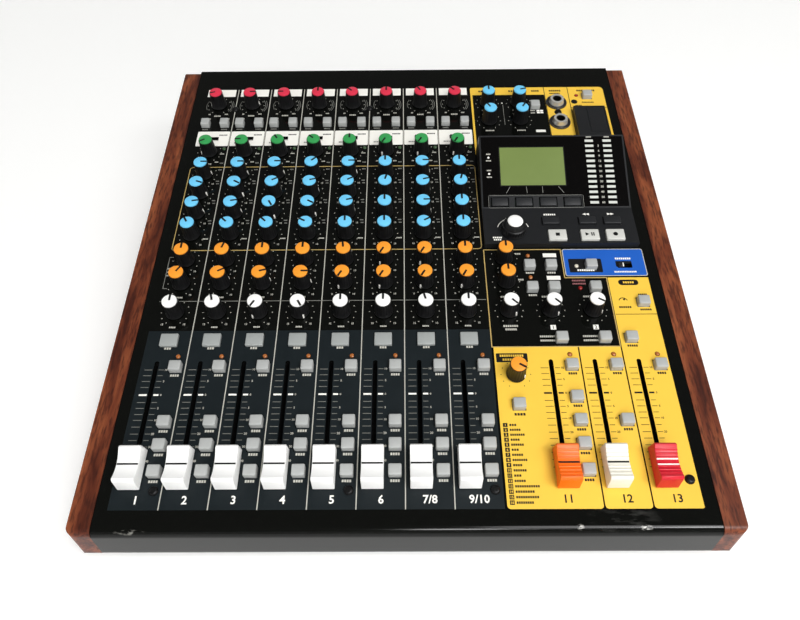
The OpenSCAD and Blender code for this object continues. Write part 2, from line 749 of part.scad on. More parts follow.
// Moulded housing: flat deck, tilted display face, rear wall and card bay
module display_housing() {
    room = [
        [deck_under[0], -1], deck_under,
        meet(deck_under, 0, face_under, display_tilt),
        meet(face_under, display_tilt, wall_inner, wall_angle),
        meet(wall_inner, wall_angle, [0, -1], 0)];
    color(plastic_black) difference() {
        union() {
            on_panel() difference() {
                across(housing_u0, housing_u1)
                    polygon([[deck_row, 0], [deck_row, deck_h], face_foot, face_top, wall_foot]);
                across(housing_u0 + housing_t, housing_u1 - housing_t) polygon(room);
            }
            on_panel() difference() {
                translate([bay_u0, bay_v0, 0]) cube([bay_w, bay_v1 - bay_v0, bay_h]);
                card_recess();
            }
        }
        on_panel() {
            for (p = transport_keys_at) key_well(p, transport_w, transport_len);
            for (p = menu_keys_at) key_well(p, menu_w, menu_len);
            translate([encoder_u, encoder_v, deck_h - 2 * housing_t])
                cylinder(d = shaft_hole, h = 3 * housing_t);
        }
        on_face() {
            translate([0, 0, -window_t]) linear_extrude(2 * window_t) window_outline(-fit / 2);
            translate([0, 0, -2 * housing_t]) linear_extrude(3 * housing_t) window_outline(window_ledge);
            for (p = function_keys_at)
                post(p[0], p[1], menu_w + 2 * face_fit, menu_len + 2 * face_fit, -2 * housing_t, housing_t);
        }
    }
}

// Through hole for a key in the deck
module key_well(at, w, l) {
    post(at[0], at[1], w + 2 * button_fit, l + 2 * button_fit, deck_h - 2 * housing_t, 2 * deck_h);
}

// Recess for the card lid, with its pin holes and the card slot in its floor
module card_recess() {
    gap = button_fit;
    translate([lid_u0 - gap, lid_v0 - gap, bay_h - lid_t - gap])
        cube([lid_w + 2 * gap, lid_len + 2 * gap, bay_h]);
    post(card_u, card_v, card_t, card_len, -1, bay_h);
    translate([lid_u0 - gap - lid_pin_len, lid_pin_v, lid_pin_w]) rotate([0, 90, 0])
        cylinder(d = lid_pin_d + 2 * run_fit, h = lid_w + 2 * (gap + lid_pin_len));
}

// Outline of the display window, drawn in by an inset
module window_outline(inset) {
    difference() {
        translate([window_u0 + inset, window_s0 + inset])
            square([window_u1 - window_u0 - 2 * inset, window_s1 - window_s0 - 2 * inset]);
        translate([notch_u0 - inset, window_s0 - 1])
            square([notch_u1 - notch_u0 + 2 * inset, notch_s + 1 + inset - window_s0]);
    }
}

module display_window() {
    color("#0b0c0d", 0.6) on_face() translate([0, 0, -window_t]) linear_extrude(window_t)
        window_outline(0);
}

// Screen module behind the window
module lcd_screen() {
    color("#7d9155") on_face()
        translate([lcd_u0, lcd_s, -window_t - lcd_t]) cube([lcd_w, lcd_len, lcd_t]);
}

// Boards: control board, fader board, jack board, display board and the card socket on it
module circuit_boards() {
    color(board_green) {
        on_panel() translate([0, 0, -board_drop - board_t]) linear_extrude(board_t) difference() {
            translate([-board_u, board_split]) square([2 * board_u, board_v1 - board_split]);
            for (p = phones_at) translate(p) circle(d = jack_w + board_gap);
        }
        on_panel() translate([-board_u, board_v0, -board_drop - board_t])
            cube([2 * board_u, board_split - board_v0 - board_gap, board_t]);
        on_panel() card_socket();
        jack_board();
        on_face() translate([housing_u0 + face_board_edge, face_board_s0, -face_board_drop])
            cube([housing_w - 2 * face_board_edge, meter_s1 - face_board_s0, face_board_t]);
    }
}

// Upright card socket under the lid
module card_socket() {
    wide = card_t + 2 * card_socket_wall;
    long = card_len + 2 * card_socket_wall;
    difference() {
        post(card_u, card_v, wide, long, -board_drop, -panel_t);
        post(card_u, card_v, card_t, card_len, -board_drop + card_socket_floor, 0);
    }
}

// Upright board behind the rear jacks
module jack_board() {
    low = lower_z - jack_w / 2;
    high = upper_z + jack_w / 2;
    translate([jack_x0 - jack_pitch / 2, jack_board_y - board_t, low])
        cube([4 * jack_pitch, board_t, high - low]);
}

// Rotary control bodies between the board and the panel
module potentiometers() {
    color(zinc) on_panel() {
        for (i = [0:channels - 1]) for (v = knob_rows) pot(strip_mid(i), v);
        for (k = master_knobs) pot(k[0], k[1]);
        pot(encoder_u, encoder_v);
    }
}

module pot(u, v) {
    difference() {
        post(u, v, pot_w, pot_len, -board_drop, -panel_t);
        translate([u, v, -board_drop + pot_floor]) cylinder(d = shaft_d + 2 * run_fit, h = board_drop);
    }
}

// Fader bodies, each with a slot for its lever
module fader_tracks() {
    color(zinc) on_panel() for (u = fader_u) difference() {
        translate([u - track_w / 2, slot_v0 - track_end, -board_drop])
            cube([track_w, slot_v1 - slot_v0 + 2 * track_end, board_drop - panel_t]);
        translate([0, 0, -board_drop + pot_floor]) linear_extrude(board_drop)
            round_slot(u, slot_v0, slot_v1, slot_w);
    }
}

// Switch bodies on the boards
module switch_bodies() {
    color(plastic_black) {
        on_panel() {
            for (p = concat(input_buttons_at, channel_buttons_at, master_buttons_at)) push_switch(p);
            for (p = concat(record_keys_at, transport_keys_at, menu_keys_at)) push_switch(p);
            for (p = slide_slots_at) slide_body(p);
        }
        on_face() for (p = function_keys_at)
            post(p[0], p[1], switch_w, menu_len, -face_board_drop + face_board_t, face_switch_top);
    }
}

// Push switch with a square well for the stem
module push_switch(p) {
    difference() {
        post(p[0], p[1], switch_w, switch_w, -board_drop, -board_drop + switch_h);
        post(p[0], p[1], stem_w + 2 * button_fit, stem_w + 2 * button_fit, -board_drop + pot_floor, 0);
    }
}

// Slide switch body with a slot for its handle
module slide_body(p) {
    wall = 0.5;
    difference() {
        post(p[0], p[1], mode_slot_len + 2 * wall, mode_slot_w + 4 * wall, -board_drop, -panel_t);
        post(p[0], p[1], mode_slot_len, mode_slot_w, -board_drop + pot_floor, 0);
    }
}

// Jacks: two on the panel for headphones, the others on the rear panel
module jack_sockets() {
    color(zinc) {
        on_panel() for (p = phones_at) translate(p) phones_jack();
        for (p = rear_jacks_at) on_rear(p[0], p[1]) rear_jack();
    }
}

// Headphone jack: body under the panel, tapered bush through it and a washer on top
module phones_jack() {
    difference() {
        union() {
            translate([0, 0, -jack_depth - jack_back])
                cylinder(d = jack_w, h = jack_depth + jack_back - panel_t);
            translate([0, 0, -panel_t]) cylinder(d = bush_d, h = panel_t + phones_washer);
            translate([0, 0, phones_washer])
                cylinder(d1 = bush_d, d2 = bush_d - phones_cone, h = phones_h - phones_washer);
        }
        translate([0, 0, -jack_depth]) cylinder(d = jack_bore, h = 2 * jack_depth);
    }
    difference() {
        cylinder(d = nut_d, h = phones_washer);
        translate([0, 0, -1]) cylinder(d = bush_d + 2 * fit, h = phones_washer + 2);
    }
}

// Rear jack: body behind the plate, bush through it and a nut outside
module rear_jack() {
    difference() {
        union() {
            post(0, 0, jack_w, jack_w, -tray_t - jack_depth - jack_back, -tray_t);
            translate([0, 0, -tray_t]) cylinder(d = bush_d, h = tray_t + bush_out);
        }
        translate([0, 0, -tray_t - jack_depth]) cylinder(d = jack_bore, h = 3 * jack_depth);
    }
    difference() {
        cylinder(d = nut_d, h = bush_out / 2);
        translate([0, 0, -1]) cylinder(d = bush_d + 2 * fit, h = bush_out);
    }
}

// Combination inputs, main outputs, data socket, power inlet and the power switch bezel
module rear_sockets() {
    color(plastic_black) {
        for (x = combo_x) on_rear(x, upper_z) combo_socket();
        for (x = output_x) on_rear(x, upper_z) output_socket();
        on_rear(usb_x, lower_z) difference() {
            post(0, 0, usb_w, usb_h, -tray_t - usb_depth, flange_t / 2);
            post(0, 0, usb_w - 2 * usb_wall, usb_h - 2 * usb_wall, -usb_depth, flange_t);
        }
        on_rear(inlet_x, lower_z) {
            difference() {
                translate([0, 0, -tray_t - inlet_depth])
                    cylinder(d = inlet_d, h = tray_t + inlet_depth + flange_t / 2);
                translate([0, 0, -inlet_depth]) cylinder(d = inlet_bore, h = 2 * inlet_depth);
            }
            translate([0, 0, -inlet_depth - pin_root])
                cylinder(d = inlet_pin, h = inlet_depth + pin_root - flange_t);
        }
        on_rear(switch_x, lower_z) switch_bezel();
    }
}

// Round socket that takes a plug in its middle bore
module combo_socket() {
    difference() {
        union() {
            translate([0, 0, -tray_t - combo_depth]) cylinder(d = combo_d, h = tray_t + combo_depth);
            cylinder(d = combo_d + 2, h = flange_t);
        }
        translate([0, 0, -combo_depth]) cylinder(d = jack_bore, h = 2 * combo_depth);
        for (a = [0, 120, 240]) rotate([0, 0, a]) translate([0, combo_pin_r, -output_depth])
            cylinder(d = output_pin, h = combo_depth);
    }
}

// Round output with three pins in its well
module output_socket() {
    difference() {
        union() {
            translate([0, 0, -tray_t - combo_depth]) cylinder(d = combo_d, h = tray_t + combo_depth);
            cylinder(d = combo_d + 2, h = flange_t);
        }
        translate([0, 0, -output_depth]) cylinder(d = combo_d - 2 * output_wall, h = 2 * output_depth);
    }
    for (a = [60, 180, 300]) rotate([0, 0, a]) translate([0, output_pin_r, -output_depth - pin_root])
        cylinder(d = output_pin, h = output_pin_len + pin_root);
}

// Frame around the power rocker
module switch_bezel() {
    difference() {
        post(0, 0, bezel_w, bezel_h, -tray_t - bezel_depth, flange_t);
        post(0, 0, rocker_w + 2 * button_fit, 2 * (rocker_r + button_fit), -bezel_depth, 2 * flange_t);
        pin = rocker_w + 2 * (button_fit + rocker_pin_len + lid_pin_end);
        translate([-pin / 2, 0, -rocker_bed]) rotate([0, 90, 0])
            cylinder(d = rocker_pin_d + 2 * run_fit, h = pin);
    }
}

// Rocker with round ends and a pin on each side, tilted to its off position
module power_switch() {
    pin = rocker_w + 2 * (button_fit + rocker_pin_len);
    color(plastic_black) on_rear(switch_x, lower_z) translate([0, 0, -rocker_bed])
        rotate([rocker_tilt, 0, 0]) union() {
            intersection() {
                translate([-rocker_w / 2, 0, 0]) rotate([0, 90, 0]) cylinder(r = rocker_r, h = rocker_w);
                post(0, 0, rocker_w, 2 * rocker_r, 0, rocker_bed + flange_t + rocker_out);
            }
            translate([-pin / 2, 0, 0]) rotate([0, 90, 0]) cylinder(d = rocker_pin_d, h = pin);
        }
}

// Round panel lamps on the board and the bars of the level meter behind the window
module indicator_lamps() {
    color("#f4f1e6") {
        on_panel() for (p = lamps_at) translate([p[0], p[1], -board_drop])
            cylinder(d = lamp_d, h = board_drop + lamp_h);
        on_face() for (u = meter_u) for (i = [0:meter_rows - 1])
            post(u, meter_s + i * segment_pitch, segment_w, segment_len,
                -face_board_drop + face_board_t, -window_t);
    }
}

// Round feet, each with a recess for its screw
module feet() {
    color("#151515") for (p = foot_places) translate([p[0], p[1], 0]) difference() {
        cylinder(d1 = foot_d - foot_taper, d2 = foot_d, h = foot_h);
        translate([0, 0, -1]) cylinder(d = foot_recess_d, h = foot_recess + 1);
        cylinder(d = screw_hole, h = 2 * foot_h);
    }
}

// Screws of the panel and its boards, the rear panel, the wooden sides and the feet
module screws() {
    color("#2a2b2d") {
        on_panel() for (p = screws_at) translate(p) screw(board_drop);
        for (x = [-rear_screw_x, rear_screw_x]) for (z = [lower_z, upper_z])
            on_rear(x, z) screw(rear_screw_len);
        for (y = side_screws_y) for (m = [0, 1]) mirror([m, 0, 0])
            translate([panel_w / 2 - tray_t, y, side_screw_z]) rotate([0, -90, 0]) screw(side_screw_len);
        for (p = foot_places) translate([p[0], p[1], foot_recess]) mirror([0, 0, 1]) screw(foot_screw_len);
    }
}

// Screw with its head above the surface and a shank of the given length below
module screw(length) {
    cylinder(d1 = screw_head_d, d2 = screw_tip_d, h = screw_head);
    translate([0, 0, -length]) cylinder(d = screw_d, h = length);
}

// Knob with a pointer groove at a clock angle, and its shaft
module knob(u, v, hour) {
    on_panel() translate([u, v, 0]) rotate([0, 0, -clock(hour)]) {
        difference() {
            translate([0, 0, knob_gap]) cylinder(d1 = knob_d, d2 = knob_top_d, h = knob_h - knob_gap);
            translate([-pointer_w / 2, 0, knob_h - pointer_depth]) cube([pointer_w, knob_d, knob_h]);
        }
        knob_shaft(knob_gap);
    }
}

// Shaft from the underside of a knob into its body
module knob_shaft(top) {
    end = -board_drop + pot_floor + button_fit;
    translate([0, 0, end]) cylinder(d = shaft_d, h = top - end);
}

// One row of channel knobs from the second channel on
module knob_row(row) {
    for (i = [1:channels - 1]) knob(strip_mid(i), knob_rows[row], pointer_hours[row][i]);
}

// One knob of the first channel
module first_knob(row) {
    knob(strip_mid(0), knob_rows[row], pointer_hours[row][0]);
}

module master_knob(i) {
    knob(master_knobs[i][0], master_knobs[i][1], master_knobs[i][2]);
}

module gain_knobs() {
    color(cap_red) knob_row(0);
}

module compressor_knobs() {
    color(cap_green) knob_row(1);
}

module equalizer_knobs() {
    color(cap_blue) for (row = [2:5]) knob_row(row);
}

module aux_knobs() {
    color(cap_orange) for (row = [6:7]) knob_row(row);
}

module pan_knobs() {
    color(cap_white) knob_row(8);
}

module encoder_knob() {
    base = deck_h + knob_gap;
    color(cap_white) on_panel() translate([encoder_u, encoder_v, 0]) {
        translate([0, 0, base]) cylinder(d = encoder_d, h = encoder_h / 2 - knob_gap);
        translate([0, 0, deck_h + encoder_h / 2])
            cylinder(d1 = encoder_d, d2 = encoder_top_d, h = encoder_h / 2);
        knob_shaft(base);
    }
}

// Fader cap with a finger dish, and its lever down into the track
module fader(i) {
    top = cap_gap + cap_h;
    end = -board_drop + pot_floor + button_fit;
    half = cap_len / 2;
    lean = 1;
    round = 2;
    tip = half - lean - round * 0.75;
    side = half - lean;
    outline = [
        [-half, cap_gap], [half, cap_gap], [side, top - round], [tip, top],
        [half / 3, top - cap_dish], [-half / 3, top - cap_dish], [-tip, top], [-side, top - round]];
    on_panel() translate([fader_u[i], fader_v, 0]) {
        across(-cap_w / 2, cap_w / 2) polygon(outline);
        post(0, 0, lever_t, lever_len, end, cap_gap);
    }
}

// Push button: a cap between two heights and a stem down into its switch
module button(p, w, l, low, top, travel) {
    end = -board_drop + pot_floor + travel + button_fit;
    post(p[0], p[1], w, l, low, top);
    post(p[0], p[1], stem_w, stem_w, end, low);
}

module button_set(places, w) {
    for (p = places) button(p, w, button_len, -panel_t, button_h, button_travel);
}

module input_buttons() {
    color(plastic_grey) on_panel() button_set(input_buttons_at, input_button_w);
}

module channel_buttons() {
    color(plastic_grey) on_panel() button_set(channel_buttons_at, button_w);
}

module master_buttons() {
    color(plastic_grey) on_panel() button_set(master_buttons_at, button_w);
}

// Record keys, transport and menu keys on the deck, function keys on the face
module keys() {
    low = key_travel + button_fit;
    top = deck_h + key_h;
    color(plastic_grey) {
        on_panel() {
            for (p = record_keys_at) button(p, record_w, record_len, -panel_t, record_h, key_travel);
            for (p = transport_keys_at) button(p, transport_w, transport_len, low, top, key_travel);
            for (p = menu_keys_at) button(p, menu_w, menu_len, low, top, key_travel);
        }
        on_face() for (p = function_keys_at)
            post(p[0], p[1], menu_w, menu_len, face_switch_top + key_travel + button_fit, key_h / 2);
    }
}

// Slide switch handles at the left end of their slots
module slide_switches() {
    wide = mode_slot_w - 2 * button_fit;
    low = -board_drop + pot_floor + button_fit;
    start = -mode_slot_len / 2 + button_fit + mode_handle / 2;
    color(plastic_black) on_panel() for (p = slide_slots_at)
        post(p[0] + start, p[1], mode_handle, wide, low, mode_h);
}

// Card lid with a round hinge edge and a pin at each end
module card_lid() {
    pin = lid_w + 2 * (button_fit + lid_pin_len - lid_pin_end);
    color(plastic_black) on_panel() union() {
        translate([lid_u0, lid_v0, bay_h - lid_t]) cube([lid_w, lid_pin_v - lid_v0, lid_t]);
        translate([lid_u0, lid_pin_v, lid_pin_w]) rotate([0, 90, 0]) cylinder(d = lid_t, h = lid_w);
        translate([card_u - pin / 2, lid_pin_v, lid_pin_w]) rotate([0, 90, 0])
            cylinder(d = lid_pin_d, h = pin);
    }
}

top_panel();
base_tray();
rear_panel();
left_side_panel();
right_side_panel();
display_housing();
display_window();
lcd_screen();
circuit_boards();
potentiometers();
fader_tracks();
switch_bodies();
jack_sockets();
rear_sockets();
indicator_lamps();
feet();
screws();
gain_knobs();
compressor_knobs();
equalizer_knobs();
aux_knobs();
pan_knobs();
color(cap_red) first_knob(0);  // gain_knob_1
color(cap_green) first_knob(1);  // compressor_knob_1
color(cap_blue) first_knob(2);  // high_knob_1
color(cap_blue) first_knob(3);  // mid_frequency_knob_1
color(cap_blue) first_knob(4);  // mid_knob_1
color(cap_blue) first_knob(5);  // low_knob_1
color(cap_orange) first_knob(6);  // aux_1_knob_1
color(cap_orange) first_knob(7);  // aux_2_knob_1
color(cap_white) first_knob(8);  // pan_knob_1
color(cap_blue) master_knob(0);  // monitor_knob
color(cap_blue) master_knob(1);  // phones_1_knob
color(cap_blue) master_knob(2);  // stereo_knob
color(cap_blue) master_knob(3);  // phones_2_knob
color(cap_orange) master_knob(4);  // effects_aux_1_knob
color(cap_orange) master_knob(5);  // effects_aux_2_knob
color(cap_white) master_knob(6);  // solo_level_knob
color(cap_white) master_knob(7);  // headphone_1_knob
color(cap_white) master_knob(8);  // headphone_2_knob
color(cap_orange) master_knob(9);  // effects_program_knob
encoder_knob();
for (i = [1:channels]) color(cap_white) fader(i - 1);
color(cap_orange) fader(8);  // effects_fader
color(cap_white) fader(9);  // sub_fader
color(cap_red) fader(10);  // main_fader
input_buttons();
channel_buttons();
master_buttons();
keys();
slide_switches();
card_lid();
power_switch();
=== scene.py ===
import json
import math

import bmesh
import bpy
from mathutils import Matrix, Vector


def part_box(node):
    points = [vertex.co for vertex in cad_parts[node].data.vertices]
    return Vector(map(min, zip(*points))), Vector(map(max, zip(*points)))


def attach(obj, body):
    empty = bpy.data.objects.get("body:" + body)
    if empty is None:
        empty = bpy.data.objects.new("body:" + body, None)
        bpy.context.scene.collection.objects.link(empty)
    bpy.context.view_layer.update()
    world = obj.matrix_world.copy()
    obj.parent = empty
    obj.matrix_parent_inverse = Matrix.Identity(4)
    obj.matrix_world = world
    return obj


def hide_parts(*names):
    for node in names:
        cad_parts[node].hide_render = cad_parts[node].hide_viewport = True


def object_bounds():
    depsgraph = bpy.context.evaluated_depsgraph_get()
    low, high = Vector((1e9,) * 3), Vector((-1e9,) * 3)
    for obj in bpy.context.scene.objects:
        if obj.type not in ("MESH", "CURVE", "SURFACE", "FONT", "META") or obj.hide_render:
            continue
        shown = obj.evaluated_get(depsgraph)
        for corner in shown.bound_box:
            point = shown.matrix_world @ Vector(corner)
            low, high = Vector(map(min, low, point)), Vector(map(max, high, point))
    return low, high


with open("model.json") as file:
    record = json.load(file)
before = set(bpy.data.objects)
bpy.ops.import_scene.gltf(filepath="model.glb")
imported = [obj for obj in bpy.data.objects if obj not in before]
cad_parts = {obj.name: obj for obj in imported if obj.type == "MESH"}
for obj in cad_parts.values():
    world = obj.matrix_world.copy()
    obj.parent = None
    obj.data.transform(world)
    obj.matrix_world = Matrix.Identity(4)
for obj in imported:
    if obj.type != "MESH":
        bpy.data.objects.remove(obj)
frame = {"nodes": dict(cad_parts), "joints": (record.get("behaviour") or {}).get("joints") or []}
cadLow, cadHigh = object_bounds()
scene = bpy.context.scene
mm = 0.001
weld = 0.002  # points of a CAD mesh closer than this are one, in millimetres
tiny = 1e-6

# Frames: X across, Y up the surface, Z out of it, all in millimetres; the pan knobs stand at a fixed Y
display = {"footV": 208.0, "deckTop": 4.0, "tilt": 16.0}
panRow = 129.5
joints = {j["name"]: j for j in frame["joints"]}
slopeAxis = Vector(joints["main_fader_slide"]["axis"])
slope = math.atan2(slopeAxis.z, slopeAxis.y)
panSeat = Vector(joints["pan_knob_1_turn"]["pos_m"])
panSeat.x = 0
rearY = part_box("rear_panel")[1].y
worldFrame = Matrix.Scale(mm, 4)
panelFrame = Matrix.Translation(panSeat - slopeAxis * panRow * mm)
panelFrame = panelFrame @ Matrix.Rotation(slope, 4, "X") @ worldFrame
deckFrame = panelFrame @ Matrix.Translation((0, 0, display["deckTop"]))
faceFrame = deckFrame @ Matrix.Translation((0, display["footV"], 0))
faceFrame = faceFrame @ Matrix.Rotation(math.radians(display["tilt"]), 4, "X")
rearFrame = Matrix(((-mm, 0, 0, 0), (0, 0, mm, rearY), (0, mm, 0, 0), (0, 0, 0, 1)))
sheets = {"panel": panelFrame, "deck": deckFrame, "face": faceFrame, "rear": rearFrame}


# A welded copy of a CAD node's mesh, in one of the frames
def nodeCopy(node, inFrame):
    bm = bmesh.new()
    bm.from_mesh(frame["nodes"][node].data)
    bm.transform(inFrame.inverted())
    bmesh.ops.remove_doubles(bm, verts=bm.verts[:], dist=weld)
    return bm


# Boxes of the separate solids of a CAD node
def solidBoxes(node, inFrame=panelFrame):
    bm = nodeCopy(node, inFrame)
    bm.verts.index_update()
    seen = set()
    boxes = []
    for start in bm.verts:
        if start.index in seen:
            continue
        seen.add(start.index)
        reach = [start]
        for vert in reach:
            for edge in vert.link_edges:
                other = edge.other_vert(vert)
                if other.index not in seen:
                    seen.add(other.index)
                    reach.append(other)
        spans = [[v.co[axis] for v in reach] for axis in range(3)]
        boxes.append((Vector([min(s) for s in spans]), Vector([max(s) for s in spans])))
    bm.free()
    return boxes


def middle(box):
    return (box[0] + box[1]) / 2


def extent(box):
    return box[1] - box[0]


# Strip grid, from the first two channel faders
strip = {"faderInset": 8.3, "buttonInset": 19.9, "channels": 8}


def faderPlace(node):
    cap = max(solidBoxes(node), key=lambda box: extent(box).y)
    return middle(cap)


pitch = faderPlace("channel_fader_2").x - faderPlace("channel_fader_1").x
gridLeft = faderPlace("channel_fader_1").x - strip["faderInset"]


def stripLeft(i):
    return gridLeft + i * pitch


def stripMid(i):
    return stripLeft(i) + pitch / 2


masterLeft = stripLeft(strip["channels"])
print("frame: slope %.1f degrees, strip pitch %.2f mm" % (math.degrees(slope), pitch))


# Materials: helpers and the shared groups

def rgb(r, g, b):
    def linear(c):
        c /= 255
        return c / 12.92 if c <= 0.04045 else ((c + 0.055) / 1.055) ** 2.4
    return (linear(r), linear(g), linear(b), 1.0)


def shade(tone, factor):
    return tuple(min(1.0, c * factor) for c in tone[:3]) + (1.0,)


def addNode(tree, kind, inputs=None, **settings):
    node = tree.nodes.new(kind)
    for key, value in settings.items():
        setattr(node, key, value)
    for key, value in (inputs or {}).items():
        if isinstance(value, bpy.types.NodeSocket):
            tree.links.new(value, node.inputs[key])
        else:
            node.inputs[key].default_value = value
    return node


def maths(tree, operation, first, second=0.0, **settings):
    return addNode(tree, "ShaderNodeMath", {0: first, 1: second}, operation=operation, **settings).outputs[0]


def vectorMaths(tree, operation, first, second=(0, 0, 0), output=0):
    return addNode(tree, "ShaderNodeVectorMath", {0: first, 1: second}, operation=operation).outputs[output]


def noise(tree, place, scale, detail, **others):
    inputs = {"Vector": place, "Scale": scale, "Detail": detail, **others}
    return addNode(tree, "ShaderNodeTexNoise", inputs).outputs["Fac"]


def remap(tree, value, start, end, low, high):
    inputs = {"Value": value, "From Min": start, "From Max": end, "To Min": low, "To Max": high}
    return addNode(tree, "ShaderNodeMapRange", inputs).outputs[0]


def mixed(tree, factor, low, high):
    return addNode(tree, "ShaderNodeMix", {0: factor, 6: low, 7: high}, data_type="RGBA").outputs[2]


def shaderGroup(name, inputs, outputs):
    group = bpy.data.node_groups.new(name, "ShaderNodeTree")
    for socket, kind in inputs:
        group.interface.new_socket(socket, in_out="INPUT", socket_type="NodeSocket" + kind)
    for socket in outputs:
        group.interface.new_socket(socket, in_out="OUTPUT", socket_type="NodeSocketFloat")
    return group, addNode(group, "NodeGroupInput"), addNode(group, "NodeGroupOutput")


# Soft cloudiness and a fine grain of the surface, on the piece's own coordinates
cloudiness = {"cloudDetail": 4.0, "grainDetail": 2.0, "finer": 9.0}


def makeMottle():
    group, given, result = shaderGroup("mottle", [("Scale", "Float")], ["Mask", "Height"])
    place = addNode(group, "ShaderNodeTexCoord").outputs["Object"]
    cloud = noise(group, place, given.outputs["Scale"], cloudiness["cloudDetail"])
    finer = maths(group, "MULTIPLY", given.outputs["Scale"], cloudiness["finer"])
    grain = noise(group, place, finer, cloudiness["grainDetail"])
    group.links.new(cloud, result.inputs["Mask"])
    group.links.new(grain, result.inputs["Height"])
    return group


# Scuffs inside one patch of the surface: a soft ellipsoid times streaky noise
scuffing = {"solid": 0.3, "turn": (0, 0, 1.1), "streak": (1, 3.5, 1), "detail": 6.0}


def makeScuff():
    sockets = [("Middle", "Vector"), ("Reach", "Vector"), ("Scale", "Float"), ("Level", "Float"),
               ("Gain", "Float")]
    group, given, result = shaderGroup("scuff", sockets, ["Mask"])
    place = addNode(group, "ShaderNodeTexCoord").outputs["Object"]
    away = vectorMaths(group, "SUBTRACT", place, given.outputs["Middle"])
    share = vectorMaths(group, "DIVIDE", away, given.outputs["Reach"])
    far = vectorMaths(group, "LENGTH", share, output="Value")
    patch = remap(group, far, scuffing["solid"], 1.0, 1.0, 0.0)
    turned = addNode(group, "ShaderNodeMapping",
                     {"Vector": place, "Rotation": scuffing["turn"], "Scale": scuffing["streak"]})
    streaks = noise(group, turned.outputs[0], given.outputs["Scale"], scuffing["detail"])
    over = maths(group, "SUBTRACT", streaks, given.outputs["Level"])
    sharp = maths(group, "MULTIPLY", over, given.outputs["Gain"], use_clamp=True)
    group.links.new(maths(group, "MULTIPLY", sharp, patch), result.inputs["Mask"])
    return group


mottle = makeMottle()
scuff = makeScuff()


def newMaterial(name):
    material = bpy.data.materials.new(name)
    material.use_nodes = True
    return material, material.node_tree, material.node_tree.nodes["Principled BSDF"]


# Gloss varies by this share of the roughness; the grain stands this deep, in metres
surfaceGrain = {"glossSpread": 0.15, "depth": 0.0003}


def dress(tree, surface, colour, gloss, height, bump):
    relief = addNode(tree, "ShaderNodeBump",
                     {"Height": height, "Strength": bump, "Distance": surfaceGrain["depth"]})
    tree.links.new(colour, surface.inputs["Base Color"])
    tree.links.new(gloss, surface.inputs["Roughness"])
    tree.links.new(relief.outputs[0], surface.inputs["Normal"])


# Paint, plastic, rubber or metal with cloudy colour, uneven gloss and a fine grain
def finish(name, tone, rough, vary, scale, bump=0.05, shader=None, scuffs=()):
    material, tree, surface = newMaterial(name)
    grain = addNode(tree, "ShaderNodeGroup", {"Scale": scale}, node_tree=mottle).outputs
    colour = mixed(tree, grain["Mask"], shade(tone, 1 - vary), shade(tone, 1 + vary))
    for place, reach, grainScale, level, gain, pale in scuffs:
        values = {"Middle": panelFrame @ Vector(place), "Reach": reach, "Scale": grainScale,
                  "Level": level, "Gain": gain}
        worn = addNode(tree, "ShaderNodeGroup", values, node_tree=scuff)
        colour = mixed(tree, worn.outputs["Mask"], colour, pale)
    spread = surfaceGrain["glossSpread"]
    gloss = remap(tree, grain["Mask"], 0.0, 1.0, rough * (1 - spread), min(1.0, rough * (1 + spread)))
    dress(tree, surface, colour, gloss, grain["Height"], bump)
    for key, value in (shader or {}).items():
        surface.inputs[key].default_value = value
    return material


# Lengthwise wood grain: broad figure, fine pores and darker streaks
wood = {
    "figureStretch": (46, 2.6, 46), "figureScale": 2.2, "figureDetail": 7.0, "figureTwist": 0.8,
    "ends": ((0.34, rgb(66, 28, 18)), (0.66, rgb(142, 78, 48))), "between": (0.5, rgb(108, 53, 33)),
    "poreStretch": (260, 5, 260), "poreScale": 3.0, "poreDetail": 3.0, "poreSpan": (0.36, 0.54),
    "poreShare": 0.72, "poreTone": rgb(46, 19, 14), "gloss": (0.46, 0.32), "bump": 0.18, "specular": 0.28,
}


def woodFinish():
    material, tree, surface = newMaterial("stained_wood")
    place = addNode(tree, "ShaderNodeTexCoord").outputs["Object"]
    along = addNode(tree, "ShaderNodeMapping", {"Vector": place, "Scale": wood["figureStretch"]}).outputs[0]
    figure = noise(tree, along, wood["figureScale"], wood["figureDetail"], Distortion=wood["figureTwist"])
    ramp = addNode(tree, "ShaderNodeValToRGB", {0: figure})
    for i, (position, tone) in enumerate(wood["ends"]):
        ramp.color_ramp.elements[i].position = position
        ramp.color_ramp.elements[i].color = tone
    ramp.color_ramp.elements.new(wood["between"][0]).color = wood["between"][1]
    fine = addNode(tree, "ShaderNodeMapping", {"Vector": place, "Scale": wood["poreStretch"]}).outputs[0]
    pores = noise(tree, fine, wood["poreScale"], wood["poreDetail"])
    dark = remap(tree, pores, *wood["poreSpan"], wood["poreShare"], 0.0)
    colour = mixed(tree, dark, ramp.outputs["Color"], wood["poreTone"])
    gloss = remap(tree, pores, 0.0, 1.0, *wood["gloss"])
    dress(tree, surface, colour, gloss, pores, wood["bump"])
    surface.inputs["Specular IOR Level"].default_value = wood["specular"]
    return material


# Screen: a fine dot grid over an uneven olive ground
screenTones = {"cloud": 30.0, "dots": 2600.0, "ground": (rgb(104, 122, 58), rgb(120, 138, 74)),
               "gap": (0.42, 0.5), "gapShare": 0.22, "gapTone": rgb(92, 110, 58), "rough": 0.32}


